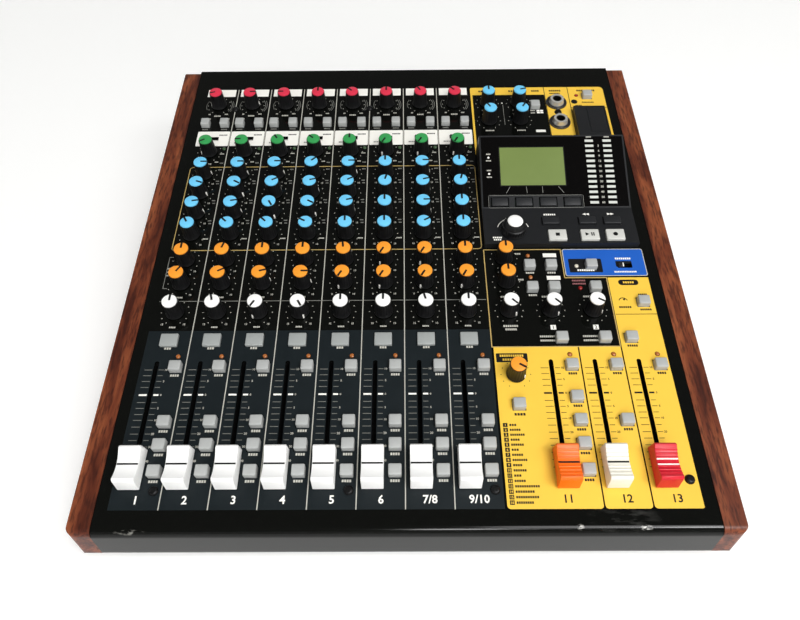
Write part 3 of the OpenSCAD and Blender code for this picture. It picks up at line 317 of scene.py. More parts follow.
def screenFinish():
    material, tree, surface = newMaterial("screen_olive")
    place = addNode(tree, "ShaderNodeTexCoord").outputs["Object"]
    grain = addNode(tree, "ShaderNodeGroup", {"Scale": screenTones["cloud"]}, node_tree=mottle)
    cells = addNode(tree, "ShaderNodeTexVoronoi",
                    {"Vector": place, "Scale": screenTones["dots"], "Randomness": 0.0}, distance="CHEBYCHEV")
    ground = mixed(tree, grain.outputs["Mask"], *screenTones["ground"])
    lines = remap(tree, cells.outputs["Distance"], *screenTones["gap"], 0.0, screenTones["gapShare"])
    colour = mixed(tree, lines, ground, screenTones["gapTone"])
    tree.links.new(colour, surface.inputs["Base Color"])
    surface.inputs["Roughness"].default_value = screenTones["rough"]
    return material


# a grey smudge, two pale ticks set on the bend's highlight line and a pale scratch along the front edge:
# place on the panel, reach, grain, level, gain and tone
frontWear = (
    ((110, 4.0, 0), (0.020, 0.008, 0.006), 90.0, 0.49, 3.0, rgb(80, 80, 77)),
    ((121, -0.6, -0.3), (0.0035, 0.0016, 0.0016), 420.0, 0.46, 8.0, rgb(214, 212, 206)),
    ((88, -0.2, -0.2), (0.0022, 0.0016, 0.0016), 420.0, 0.46, 8.0, rgb(200, 198, 192)),
    ((-139.4, -1.9, -1.0), (0.0085, 0.0016, 0.002), 300.0, 0.53, 7.0, rgb(126, 125, 119)))
blackPaint = {"Specular IOR Level": 0.3}
dullBlack = {"Specular IOR Level": 0.2}
# name, tone, roughness, variation of the colour and scale of its cloudiness
looks = {
    "panelPaint": finish("panel_paint", rgb(10, 11, 9), 0.12, 0.2, 260, bump=0.02,
                         shader={"Specular IOR Level": 0.22}, scuffs=frontWear),
    "trayPaint": finish("tray_paint", rgb(22, 22, 22), 0.5, 0.2, 320, bump=0.08, shader=blackPaint),
    "rearPaint": finish("rear_paint", rgb(20, 20, 20), 0.42, 0.2, 320, bump=0.06, shader=blackPaint),
    "wood": woodFinish(),
    "housing": finish("housing_plastic", rgb(27, 28, 30), 0.42, 0.14, 420, bump=0.12, shader=blackPaint),
    "window": finish("window_gloss", rgb(6, 5, 5), 0.1, 0.1, 60, bump=0.0, shader=dullBlack),
    "screen": screenFinish(),
    "board": finish("board_green", rgb(24, 70, 44), 0.5, 0.2, 90, bump=0.06),
    # darkest black: painted shade where it fills fader tracks, switch bodies, potentiometers and the screw
    # crosses, so that slots, gaps and recesses read as shade; plain black on the fader levers, jack sleeves
    # and screen border
    "blackAndShade": finish("black_and_painted_shade", rgb(12, 12, 12), 0.6, 0.2, 200, shader=dullBlack),
    "chrome": finish("nut_chrome", rgb(236, 234, 227), 0.22, 0.06, 160, bump=0.02,
                     shader={"Metallic": 0.65}),
    "socket": finish("socket_plastic", rgb(22, 22, 23), 0.44, 0.15, 300, bump=0.08),
    "rubber": finish("foot_rubber", rgb(24, 24, 24), 0.8, 0.2, 300, bump=0.2),
    "screw": finish("screw_black", rgb(26, 26, 27), 0.3, 0.15, 240, shader={"Metallic": 0.6}),
    "knobBody": finish("knob_body", rgb(19, 19, 20), 0.4, 0.15, 300, bump=0.06, shader=blackPaint),
    "capRed": finish("cap_red", rgb(220, 50, 76), 0.42, 0.06, 200),
    "capGreen": finish("cap_green", rgb(52, 156, 82), 0.42, 0.06, 200),
    "capBlue": finish("cap_blue", rgb(112, 204, 246), 0.42, 0.05, 200),
    "capOrange": finish("cap_orange", rgb(252, 158, 46), 0.42, 0.05, 200),
    "capWhite": finish("cap_white", rgb(250, 250, 247), 0.42, 0.02, 200),
    "button": finish("button_grey", rgb(172, 174, 172), 0.45, 0.05, 260, bump=0.06),
    "key": finish("key_grey", rgb(158, 162, 160), 0.42, 0.05, 260, bump=0.06),
    "paleKey": finish("key_pale", rgb(204, 204, 198), 0.42, 0.04, 260, bump=0.06),
    "darkKey": finish("key_dark", rgb(34, 35, 37), 0.42, 0.12, 260, bump=0.06, shader=blackPaint),
    "handle": finish("slide_handle", rgb(38, 38, 39), 0.45, 0.12, 260),
    "faderWhite": finish("fader_white", rgb(250, 250, 248), 0.4, 0.02, 200),
    "faderCream": finish("fader_cream", rgb(238, 234, 220), 0.4, 0.03, 200),
    "faderOrange": finish("fader_orange", rgb(252, 106, 3), 0.38, 0.04, 200),
    "faderRed": finish("fader_red", rgb(206, 14, 38), 0.38, 0.05, 200),
    "lampAmber": finish("lamp_amber", rgb(176, 104, 50), 0.2, 0.15, 300),
    "lampRed": finish("lamp_red", rgb(150, 28, 26), 0.2, 0.15, 300),
    "lampGreen": finish("lamp_green", rgb(58, 84, 54), 0.2, 0.15, 300),
    "lampPale": finish("lamp_pale", rgb(214, 208, 190), 0.2, 0.1, 300),
    "meterBar": finish("meter_bar", rgb(206, 209, 202), 0.3, 0.05, 300),
}
inkTones = {
    "white": (rgb(248, 246, 238), 0.5, 0.03, 300),
    "pale": (rgb(190, 188, 178), 0.5, 0.06, 300),
    "grey": (rgb(126, 126, 120), 0.5, 0.08, 300),
    "pink": (rgb(150, 96, 98), 0.5, 0.06, 300),
    "tan": (rgb(196, 168, 104), 0.5, 0.06, 300),
    "yellow": (rgb(243, 198, 72), 0.46, 0.04, 60),
    "charcoal": (rgb(21, 28, 31), 0.42, 0.1, 120),
    "blue": (rgb(32, 94, 190), 0.46, 0.06, 60),
    "black": (rgb(20, 20, 19), 0.46, 0.15, 300),
}
inkShader = {"Specular IOR Level": 0.25}
inks = {ink: finish("ink_" + ink, *row, bump=0.02, shader=inkShader) for ink, row in inkTones.items()}
print("materials: %d looks, %d inks" % (len(looks), len(inks)))


# Geometry node trees

def geometryTree(name, sockets):
    tree = bpy.data.node_groups.new(name, "GeometryNodeTree")
    tree.interface.new_socket("Geometry", in_out="INPUT", socket_type="NodeSocketGeometry")
    for socket, kind in sockets:
        tree.interface.new_socket(socket, in_out="INPUT", socket_type="NodeSocket" + kind)
    tree.interface.new_socket("Geometry", in_out="OUTPUT", socket_type="NodeSocketGeometry")
    return tree, addNode(tree, "NodeGroupInput"), addNode(tree, "NodeGroupOutput")


def endTree(tree, copies, given, result):
    real = addNode(tree, "GeometryNodeRealizeInstances", {"Geometry": copies.outputs["Instances"]})
    done = addNode(tree, "GeometryNodeSetMaterial",
                   {"Geometry": real.outputs["Geometry"], "Material": given.outputs["Finish"]})
    tree.links.new(done.outputs["Geometry"], result.inputs["Geometry"])


# A shape on every point, at the point's own size and turn
def makePlaceCopies():
    tree, given, result = geometryTree("placeCopies", [("Shape", "Object"), ("Finish", "Material")])
    shape = addNode(tree, "GeometryNodeObjectInfo", {"Object": given.outputs["Shape"]})
    turn = addNode(tree, "GeometryNodeInputNamedAttribute", {"Name": "turn"}, data_type="FLOAT_VECTOR")
    size = addNode(tree, "GeometryNodeInputNamedAttribute", {"Name": "size"}, data_type="FLOAT_VECTOR")
    angle = addNode(tree, "FunctionNodeEulerToRotation", {0: turn.outputs["Attribute"]})
    copies = addNode(tree, "GeometryNodeInstanceOnPoints",
                     {"Points": given.outputs["Geometry"], "Instance": shape.outputs["Geometry"],
                      "Rotation": angle.outputs[0], "Scale": size.outputs["Attribute"]})
    endTree(tree, copies, given, result)
    return tree


# A ring of dots round every point, from one end of the sweep to the other
dotSides = 7


def makeDialRing():
    tree, given, result = geometryTree(
        "dialRing", [("Radius", "Float"), ("Dot", "Float"), ("Count", "Int"), ("Sweep", "Float"),
                     ("Thickness", "Float"), ("Finish", "Material")])
    line = addNode(tree, "GeometryNodeMeshLine", {"Count": given.outputs["Count"]})
    index = addNode(tree, "GeometryNodeInputIndex").outputs[0]
    share = maths(tree, "DIVIDE", index, maths(tree, "SUBTRACT", given.outputs["Count"], 1.0))
    angle = maths(tree, "MULTIPLY", maths(tree, "SUBTRACT", share, 0.5), given.outputs["Sweep"])
    across, up = (maths(tree, "MULTIPLY", maths(tree, way, angle), given.outputs["Radius"])
                  for way in ("SINE", "COSINE"))
    spot = addNode(tree, "ShaderNodeCombineXYZ", {0: across, 1: up})
    ring = addNode(tree, "GeometryNodeSetPosition",
                   {"Geometry": line.outputs["Mesh"], "Position": spot.outputs[0]})
    half = maths(tree, "MULTIPLY", given.outputs["Dot"], 0.5)
    single = addNode(tree, "GeometryNodeMeshCylinder",
                     {"Vertices": dotSides, "Radius": half, "Depth": given.outputs["Thickness"]})
    dots = addNode(tree, "GeometryNodeInstanceOnPoints",
                   {"Points": ring.outputs["Geometry"], "Instance": single.outputs["Mesh"]})
    copies = addNode(tree, "GeometryNodeInstanceOnPoints",
                     {"Points": given.outputs["Geometry"], "Instance": dots.outputs["Instances"]})
    endTree(tree, copies, given, result)
    return tree


placeCopies = makePlaceCopies()
dialRing = makeDialRing()


def runTree(tree, points, values):
    carrier = bpy.data.objects.new("carrier", points)
    scene.collection.objects.link(carrier)
    modifier = carrier.modifiers.new("nodes", "NODES")
    modifier.node_group = tree
    for item in tree.interface.items_tree:
        if item.item_type == "SOCKET" and item.in_out == "INPUT" and item.name in values:
            modifier[item.identifier] = values[item.name]
    whole = bpy.context.evaluated_depsgraph_get()
    mesh = bpy.data.meshes.new_from_object(carrier.evaluated_get(whole))
    carrier.modifiers.remove(modifier)
    bpy.data.objects.remove(carrier)
    for key in ("size", "turn"):
        if key in mesh.attributes:
            mesh.attributes.remove(mesh.attributes[key])
    return mesh


def pointMesh(places):
    points = bpy.data.meshes.new("places")
    points.from_pydata([tuple(p) for p in places], [], [])
    return points


# Copies of one shape; each row is a place, a size and a turn about Z in degrees
def placed(shape, rows, material):
    points = pointMesh([row[0] for row in rows])
    sizes = points.attributes.new("size", "FLOAT_VECTOR", "POINT")
    sizes.data.foreach_set("vector", [c for row in rows for c in row[1]])
    turns = points.attributes.new("turn", "FLOAT_VECTOR", "POINT")
    turns.data.foreach_set("vector", [c for row in rows for c in (0, 0, math.radians(row[2]))])
    source = bpy.data.objects.new("source", shape)
    scene.collection.objects.link(source)
    mesh = runTree(placeCopies, points, {"Shape": source, "Finish": material})
    bpy.data.objects.remove(source)
    return mesh


# A row for a copy at its own size
def rowAt(x, y, z=0, turn=0):
    return (x, y, z), (1, 1, 1), turn


# Mesh helpers, in millimetres

def newMesh(name, bm, material=None, sharp=32.0):
    mesh = bpy.data.meshes.new(name)
    bm.to_mesh(mesh)
    bm.free()
    mesh.shade_smooth()
    mesh.set_sharp_from_angle(angle=math.radians(sharp))
    if material:
        mesh.materials.append(material)
    return mesh


# Turned shape: rings of radius, height and flute depth; radius 0 closes an end
def lathe(rings, sides=32, flutes=0):
    bm = bmesh.new()
    loops = []
    for radius, height, *depth in rings:
        if radius == 0:
            loops.append([bm.verts.new((0, 0, height))])
            continue
        loop = []
        for i in range(sides):
            a = 2 * math.pi * i / sides
            r = radius - (depth[0] * (0.5 - 0.5 * math.cos(flutes * a)) if depth else 0)
            loop.append(bm.verts.new((r * math.cos(a), r * math.sin(a), height)))
        loops.append(loop)
    for low, high in zip(loops, loops[1:]):
        for i in range(sides):
            j = (i + 1) % sides
            if len(low) == 1:
                bm.faces.new((low[0], high[j], high[i]))
            elif len(high) == 1:
                bm.faces.new((low[i], low[j], high[0]))
            else:
                bm.faces.new((low[i], low[j], high[j], high[i]))
    if len(loops[0]) > 1:
        for i in range(sides):
            j = (i + 1) % sides
            bm.faces.new((loops[-1][i], loops[-1][j], loops[0][j], loops[0][i]))
    bmesh.ops.recalc_face_normals(bm, faces=bm.faces[:])
    return bm


# Block with rounded edges; topOnly leaves the lower edges sharp
def block(low, high, bevel=0.0, segments=2, topOnly=False):
    bm = bmesh.new()
    bmesh.ops.create_cube(bm, size=1.0)
    low, high = Vector(low), Vector(high)
    for v in bm.verts:
        v.co = [low[k] if v.co[k] < 0 else high[k] for k in range(3)]
    if bevel:
        edges = [e for e in bm.edges if not topOnly or max(v.co.z for v in e.verts) > high.z - tiny]
        bmesh.ops.bevel(bm, geom=edges, offset=bevel, segments=segments, affect="EDGES", profile=0.5)
    return bm


def raiseFaces(bm, faces, height):
    grown = bmesh.ops.extrude_face_region(bm, geom=faces, use_keep_orig=True)
    upper = [g for g in grown["geom"] if isinstance(g, bmesh.types.BMVert)]
    bmesh.ops.translate(bm, verts=upper, vec=(0, 0, height))
    bmesh.ops.recalc_face_normals(bm, faces=bm.faces[:])
    return bm


# Outline drawn up into a closed plate
def plate(points, low, high):
    bm = bmesh.new()
    bottom = bm.faces.new([bm.verts.new((x, y, low)) for x, y in points])
    return raiseFaces(bm, [bottom], high - low)


def merged(name, meshes):
    whole = bpy.data.meshes.new(name)
    bm = bmesh.new()
    for mesh in meshes:
        start = len(bm.faces)
        bm.from_mesh(mesh)
        bm.faces.ensure_lookup_table()
        for face in bm.faces[start:]:
            face.material_index += len(whole.materials)
        for material in mesh.materials:
            whole.materials.append(material)
    bm.to_mesh(whole)
    bm.free()
    return whole


def piece(name, mesh, inFrame, body, replaced=()):
    mesh.transform(inFrame)
    thing = bpy.data.objects.new(name, mesh)
    scene.collection.objects.link(thing)
    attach(thing, body)
    if replaced:
        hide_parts(*replaced)


def arc(x, y, radius, start, end, steps):
    turns = [math.radians(start + (end - start) * i / steps) for i in range(steps + 1)]
    return [(x + radius * math.cos(a), y + radius * math.sin(a)) for a in turns]


# Box outline, with corner radii from the low left corner anticlockwise
cornerSteps = 5


def boxOutline(x0, y0, x1, y1, radii=(0, 0, 0, 0)):
    corners = ((x0, y0, 1, 1, 180), (x1, y0, -1, 1, 270), (x1, y1, -1, -1, 0), (x0, y1, 1, -1, 90))
    points = []
    for (x, y, inX, inY, start), r in zip(corners, radii):
        points += arc(x + inX * r, y + inY * r, r, start, start + 90, cornerSteps) if r else [(x, y)]
    return points


# Printed fields: slices of the panel's own top face, so that its holes stay open
fieldTop = {"under": 0.02, "ground": 0.035, "upper": 0.05, "mark": 0.08, "number": 0.09}
skinLimits = {"level": 0.999, "height": 0.02, "cut": 1e-4}


def panelSkin():
    bm = nodeCopy("top_panel", panelFrame)
    bm.normal_update()
    off = [f for f in bm.faces
           if f.normal.z < skinLimits["level"] or abs(f.calc_center_median().z) > skinLimits["height"]]
    bmesh.ops.delete(bm, geom=off, context="FACES")
    return bm


skin = panelSkin()


def printedField(outline, top):
    bm = skin.copy()
    for (x, y), (nextX, nextY) in zip(outline, outline[1:] + outline[:1]):
        if abs(nextX - x) + abs(nextY - y) < tiny:
            continue
        bmesh.ops.bisect_plane(bm, geom=bm.verts[:] + bm.edges[:] + bm.faces[:], plane_co=(x, y, 0),
                               plane_no=(nextY - y, x - nextX, 0), clear_outer=True, dist=skinLimits["cut"])
    return raiseFaces(bm, bm.faces[:], top)


fields = {key: [] for key in inks}


def field(ink, x0, y0, x1, y1, radii=(0, 0, 0, 0), top="ground"):
    fields[ink].append((boxOutline(x0, y0, x1, y1, radii), fieldTop[top]))


# Marks: rows of place, size and turn, kept for each sheet, ink and shape
marks = {}


def mark(ink, x, y, wide, tall, turn=0.0, sheet="panel", shape="bar", top="mark"):
    marks.setdefault((sheet, ink, shape), []).append(((x, y, 0), (wide, tall, fieldTop[top]), turn))


def dot(ink, x, y, across, sheet="panel"):
    mark(ink, x, y, across, across, sheet=sheet, shape="dot")


# A row of short blocks where small print stands; their pitch and width, as shares
smallPrint = {"pitch": 0.95, "wide": 0.76}


def label(ink, x, y, wide, tall, sheet="panel"):
    count = max(1, round(wide / (tall * smallPrint["pitch"])))
    step = wide / count
    for i in range(count):
        mark(ink, x - wide / 2 + (i + 0.5) * step, y, step * smallPrint["wide"], tall, sheet=sheet)


def numeral(ink, text, x, y, tall, sheet="panel"):
    mark(ink, x, y, tall, tall, sheet=sheet, shape="number " + str(text), top="number")


# Lines run past their ends, so that corners close
lineOverlap = 0.9


def lineBetween(ink, x0, y0, x1, y1, wide, sheet="panel"):
    long = math.hypot(x1 - x0, y1 - y0) + wide * lineOverlap
    turn = math.degrees(math.atan2(y1 - y0, x1 - x0))
    mark(ink, (x0 + x1) / 2, (y0 + y1) / 2, long, wide, turn, sheet)


def lineLoop(ink, points, wide, sheet="panel", closed=True):
    ends = points[1:] + points[:1] if closed else points[1:]
    for (x0, y0), (x1, y1) in zip(points, ends):
        if math.hypot(x1 - x0, y1 - y0) > tiny:
            lineBetween(ink, x0, y0, x1, y1, wide, sheet)


# A table of print: fields, lines, labels, blocks, dots and numbers
def printTable(table):
    drawn = {"fields": field, "lines": lineBetween, "labels": label, "blocks": mark, "dots": dot,
             "numbers": numeral}
    for kind, rows in table.items():
        for row in rows:
            drawn[kind](*row)


numberStyle = {"size": 1.4, "half": 0.5, "bolder": 0.028, "steps": 2, "weld": 1e-4}


def numberMesh(text):
    curve = bpy.data.curves.new("number", "FONT")
    curve.body = text
    curve.size = numberStyle["size"]
    curve.align_x = "CENTER"
    curve.extrude = numberStyle["half"]
    curve.offset = numberStyle["bolder"]
    curve.resolution_u = numberStyle["steps"]
    carrier = bpy.data.objects.new("number", curve)
    scene.collection.objects.link(carrier)
    mesh = bpy.data.meshes.new_from_object(carrier.evaluated_get(bpy.context.evaluated_depsgraph_get()))
    bpy.data.objects.remove(carrier)
    bm = bmesh.new()
    bm.from_mesh(mesh)
    bmesh.ops.remove_doubles(bm, verts=bm.verts[:], dist=numberStyle["weld"])
    rise = (max(v.co.y for v in bm.verts) + min(v.co.y for v in bm.verts)) / 2
    bmesh.ops.translate(bm, verts=bm.verts[:], vec=(0, -rise, numberStyle["half"]))
    bmesh.ops.recalc_face_normals(bm, faces=bm.faces[:])
    return newMesh("number", bm)


# Shapes of the marks, one unit wide, long and high
def shapeMesh(kind):
    if kind.startswith("number "):
        return numberMesh(kind.split(" ", 1)[1])
    if kind == "dot":
        return newMesh("dot", plate(arc(0, 0, 0.5, 0, 315, 7), 0, 1))
    if kind == "arrow":
        return newMesh("arrow", plate([(-0.5, -0.5), (0.5, 0), (-0.5, 0.5)], 0, 1))
    return newMesh("bar", block((-0.5, -0.5, 0), (0.5, 0.5, 1)))


# Knobs: fluted black body with its shaft, coloured cap, pointer line and skirt mark
knob = {"foot": 0.6, "top": 13.4, "skirt": 5.6, "neck": 4.78, "cap": 4.5, "capTall": 1.15, "shaft": 3.0,
        "shaftEnd": -9, "flutes": 18, "fluteSides": 4, "depth": 0.3, "pointer": 1.3, "hour": -30.0,
        "dialRadius": 8.45, "dialDot": 0.62, "dialCount": 11, "sweep": 300.0}
# place up the panel, cap and the hour that each strip's pointer shows
knobRows = {
    "gain": (316.5, "capRed", (8.5, 3, 9, 12, 10.5, 12, 11, 10.5)),
    "compressor": (266.5, "capGreen", (8, 9, 11, 10.5, 12, 7, 7, 7)),
    "high": (244.5, "capBlue", (3, 3, 3, 1.5, 3, 12, 3, 12)),
    "mid_frequency": (226.5, "capBlue", (3.7, 4, 2, 2.5, 2, 12.5, 2.5, 12.5)),
    "mid": (208.5, "capBlue", (2.7, 2.7, 5, 4, 2.5, 12, 3, 12)),
    "low": (190.5, "capBlue", (11, 10.5, 10.5, 10, 12, 12, 2, 12)),
    "aux_1": (169.0, "capOrange", (12, 12.5, 12, 12, 11.8, 7, 7, 12)),
    "aux_2": (151.0, "capOrange", (1, 2, 2.5, 3, 7, 7, 7, 7)),
    "pan": (129.5, "capWhite", (12, 11.5, 7, 5, 12, 12, 11.5, 12)),
}
knobBanks = {
    "gain_knobs": ("gain",), "compressor_knobs": ("compressor",), "pan_knobs": ("pan",),
    "equalizer_knobs": ("high", "mid_frequency", "mid", "low"), "aux_knobs": ("aux_1", "aux_2"),
}
programKnob = "effects_program_knob"
# place across and up the panel, hour and cap
masterKnobs = {
    "monitor_knob": (63.4, 316.5, 12, "capBlue"),
    "phones_1_knob": (86.4, 316.5, 2.5, "capBlue"),
    "stereo_knob": (63.4, 297.5, 11, "capBlue"),
    "phones_2_knob": (86.4, 297.5, 1, "capBlue"),
    "effects_aux_1_knob": (63.4, 169, 12, "capOrange"),
    "effects_aux_2_knob": (63.4, 151, 12, "capOrange"),
    "solo_level_knob": (63.4, 129.5, 4.5, "capWhite"),
    "headphone_1_knob": (88.7, 129.5, 4.5, "capWhite"),
    "headphone_2_knob": (114.1, 129.5, 4, "capWhite"),
    programKnob: (63.4, 86, 4, "capOrange"),
}


def knobShapes():
    foot, top, skirt, neck, cap = (knob[key] for key in ("foot", "top", "skirt", "neck", "cap"))
    shaft, low, depth = knob["shaft"], knob["shaftEnd"], knob["depth"]
    seam = top - knob["capTall"]
    body = lathe([
        (0, low), (shaft, low), (shaft, foot), (skirt - 0.15, foot), (skirt, foot + 0.15),
        (skirt, foot + 1.0), (skirt - 0.22, foot + 1.3, 0.0), (skirt - 0.26, foot + 1.7, depth),
        (neck, seam - 0.5, depth), (neck - 0.02, seam - 0.1, 0.0), (cap - 0.25, seam), (0, seam)],
        sides=knob["flutes"] * knob["fluteSides"], flutes=knob["flutes"])
    half = knob["pointer"] / 2
    pointer = block((-half, 0.2, top - 0.6), (half, cap - 0.02, top), 0.08, 1)
    body.from_mesh(newMesh("pointer", pointer))
    crown = lathe([
        (0, seam - 0.3), (cap - 0.05, seam - 0.3), (cap, seam + 0.2), (cap - 0.02, top - 0.45),
        (cap - 0.14, top - 0.2), (cap - 0.42, top - 0.1), (0, top - 0.05)], sides=40)
    # the mark leans in with the body above the skirt
    skirtMark = block((-0.5, skirt - 0.8, foot + 0.1), (0.5, skirt + 0.06, foot + 3.2), 0.06, 1)
    for v in skirtMark.verts:
        v.co.y -= 0.28 if v.co.z > foot + 2 else 0
    return {"body": newMesh("knobBody", body), "cap": newMesh("knobCap", crown),
            "mark": newMesh("knobMark", skirtMark)}


knobParts = knobShapes()


def knobSet(name, places, cap, body, replaced):
    rows = [rowAt(u, v, turn=knob["hour"] * hour) for u, v, hour in places]
    meshes = [placed(knobParts["body"], rows, looks["knobBody"]), placed(knobParts["cap"], rows, looks[cap]),
              placed(knobParts["mark"], rows, inks["white"])]
    piece(name, merged(name, meshes), panelFrame, body, replaced)


def makeKnobs():
    for node, rows in knobBanks.items():
        places = [(stripMid(i), knobRows[row][0], knobRows[row][2][i])
                  for row in rows for i in range(1, strip["channels"])]
        knobSet("bank_" + node, places, knobRows[rows[0]][1], "console", (node,))
    for row, (v, cap, hours) in knobRows.items():
        node = row + "_knob_1"
        knobSet("turned_" + node, [(stripMid(0), v, hours[0])], cap, node, (node,))
    for node, (u, v, hour, cap) in masterKnobs.items():
        knobSet("turned_" + node, [(u, v, hour)], cap, node, (node,))
    print("knobs: %d banks, %d single" % (len(knobBanks), len(knobRows) + len(masterKnobs)))


makeKnobs()

# Encoder: wide fluted black base and a white domed cap
encoder = {"u": 71.0, "v": 189.0, "radius": 8.0, "top": 14.5, "rim": (5.6, 5.2), "cap": 4.9, "flutes": 26,
           "fluteSides": 4, "depth": 0.35}


def makeEncoder():
    radius, top, cap, depth = (encoder[key] for key in ("radius", "top", "cap", "depth"))
    foot = display["deckTop"] + knob["foot"]
    shaft, low = knob["shaft"], knob["shaftEnd"]
    body = lathe([
        (0, low), (shaft, low), (shaft, foot), (radius - 0.2, foot), (radius, foot + 0.2),
        (radius, foot + 0.9, 0.0), (radius - 0.1, foot + 1.2, depth), (radius - 0.15, foot + 4.3, depth),
        (radius - 0.35, foot + 4.7, 0.0), (radius - 1.1, foot + 5.2), (encoder["rim"][0], top - 1.5),
        (encoder["rim"][1], top - 1.2), (0, top - 1.2)],
        sides=encoder["flutes"] * encoder["fluteSides"], flutes=encoder["flutes"])
    crown = lathe([
        (0, top - 1.6), (cap, top - 1.6), (cap, top - 0.9), (cap - 0.3, top - 0.5), (cap - 1.0, top - 0.22),
        (cap - 2.2, top - 0.06), (0, top)], sides=44)
    whole = merged("encoder", [newMesh("encoderBody", body, looks["knobBody"]),
                               newMesh("encoderCap", crown, looks["capWhite"])])
    whole.transform(Matrix.Translation((encoder["u"], encoder["v"], 0)))
    piece("turned_encoder_knob", whole, panelFrame, "encoder_knob", ("encoder_knob",))


makeEncoder()

# Fader caps: dished and rounded, ridged on the coloured ones, with printed centre lines
fader = {
    "half": 11.0, "wide": 11.6, "tall": 10.5, "foot": 1.2, "side": (10.0, 9.7),
    "brow": ((9.72, 10.75), (9.25, 11.4)), "tip": (8.5, 11.7), "dish": 9.3, "steps": 68,
    "edge": 0.45, "rounding": ((0.7, 0.13), (1.0, 0.45)), "sharp": 40,
    "ridge": 0.34, "ridgePitch": 2.0, "ridgeSpan": (1.0, 8.0), "ridgeShift": 0.25, "ridgeForm": 0.6,
    "line": 0.95, "lineInset": 0.3, "lineSink": 0.5, "lineTall": 0.62, "lever": (0.8, 3.0, -10.5),
    "leverOverlap": 0.2,
}
# look, ridges, ink and places of the lines, material slot
faderKinds = {
    "effects_fader": ("faderOrange", True, "black", (0,), "cap_orange"),
    "sub_fader": ("faderCream", True, "black", (0,), "cap_white"),
    "main_fader": ("faderRed", True, "white", (-1.55, 1.55), "cap_red"),
}
for channel in range(strip["channels"]):
    faderKinds["channel_fader_%d" % (channel + 1)] = ("faderWhite", False, "black", (0,), "cap_white")


def dishHeight(v):
    return fader["dish"] + (fader["tip"][1] - fader["dish"]) * (v / fader["tip"][0]) ** 2


def ridgeHeight(v):
    low, high = fader["ridgeSpan"]
    if not low < abs(v) < high:
        return 0.0
    wave = math.cos(2 * math.pi * (abs(v) - fader["ridgeShift"]) / fader["ridgePitch"])
    return fader["ridge"] * max(0.0, wave) ** fader["ridgeForm"]


def faderOutline(ridged):
    side = [(-v, w) for v, w in ((fader["half"], fader["foot"]), fader["side"], *fader["brow"])]
    top = []
    for i in range(fader["steps"] + 1):
        v = -fader["tip"][0] + 2 * fader["tip"][0] * i / fader["steps"]
        top.append((v, dishHeight(v) + (ridgeHeight(v) if ridged else 0.0)))
    return side + top + [(-v, w) for v, w in reversed(side)]


def joinLoops(bm, first, second):
    count = len(first)
    for i in range(count):
        j = (i + 1) % count
        bm.faces.new((first[i], first[j], second[j], second[i]))


def faderMesh(node):
    look, ridged, lineInk, lines, slot = faderKinds[node]
    bm = bmesh.new()
    outline = faderOutline(ridged)
    foot, half = fader["foot"], fader["wide"] / 2
    flat = half - fader["edge"]
    ends = [[bm.verts.new((x, v, w)) for v, w in outline] for x in (-flat, flat)]
    joinLoops(bm, *ends)
    # rounded long edges: two smaller outlines out to the flat sides
    for way, last in zip((-1, 1), ends):
        for out, inset in fader["rounding"]:
            pull, drop = 1 - inset / fader["half"], 1 - inset / fader["tall"]
            x = way * (flat + out * fader["edge"])
            loop = [bm.verts.new((x, v * pull, foot + (w - foot) * drop)) for v, w in outline]
            joinLoops(bm, last, loop)
            last = loop
        bm.faces.new(last)
    bmesh.ops.recalc_face_normals(bm, faces=bm.faces[:])
    parts = [newMesh("faderCap", bm, looks[look], fader["sharp"])]
    long, tall = half - fader["lineInset"], fader["line"] / 2
    for v in lines:
        low = dishHeight(abs(v)) - fader["lineSink"]
        bar = block((-long, v - tall, low), (long, v + tall, low + fader["lineTall"]), 0.05, 1)
        parts.append(newMesh("faderLine", bar, inks[lineInk]))
    wide, reach, end = fader["lever"]
    lever = block((-wide, -reach, end), (wide, reach, foot + fader["leverOverlap"]))
    parts.append(newMesh("faderLever", lever, looks["blackAndShade"]))
    return merged(node, parts), slot


def makeFaders():
    for node in faderKinds:
        at = faderPlace(node)
        mesh, slot = faderMesh(node)
        mesh.transform(Matrix.Translation((at.x, at.y, 0)))
        piece("cap_" + node, mesh, panelFrame, node, (node,))
    print("faders: %d" % len(faderKinds))


makeFaders()

# Buttons, on the caps of the CAD banks
button = {"bevel": 0.75, "segments": 3, "low": -1.5, "above": 1.0, "least": 2}


def buttonShape(wide, tall, low, high, bevel):
    bm = block((-wide / 2, -tall / 2, low), (wide / 2, tall / 2, high), bevel, button["segments"], True)
    return newMesh("button", bm)


def capBoxes(node):
    return [b for b in solidBoxes(node) if b[1].z > button["above"] and extent(b).x > button["least"]]


# width, depth and top of a cap, rounded so that equal caps fall together
def capSizes(box):
    return round(extent(box).x, 1), round(extent(box).y, 1), round(box[1].z, 2)


def buttonBank(node):
    groups = {}
    for box in capBoxes(node):
        groups.setdefault(capSizes(box), []).append(rowAt(*middle(box).xy))
    meshes = [placed(buttonShape(wide, tall, button["low"], top, button["bevel"]), rows, looks["button"])
              for (wide, tall, top), rows in groups.items()]
    name = "bank_" + node
    piece(name, merged(name, meshes), panelFrame, node, (node,))
    print("%s: %d" % (name, sum(len(rows) for rows in groups.values())))


for node in ("input_buttons", "channel_buttons", "master_buttons"):
    buttonBank(node)

# Keys: grey record keys, light transport keys, dark menu keys and the dark keys under the screen
keySet = {
    "rows": {"darkKey": 196.6, "paleKey": 184.4}, "rowReach": 3, "deckStart": 150, "deckEnd": 200,
    "panelLow": -1.5, "deckLow": 1.5, "bevel": 0.55, "deckKeyTop": 5.6,
    "faceEnd": 10, "faceTop": 2, "faceLeast": 8, "faceLow": -1.2, "faceBevel": 0.5,
}
transport = {"stop": masterLeft + 48.2, "play": masterLeft + 69.0, "record": masterLeft + 85.3}


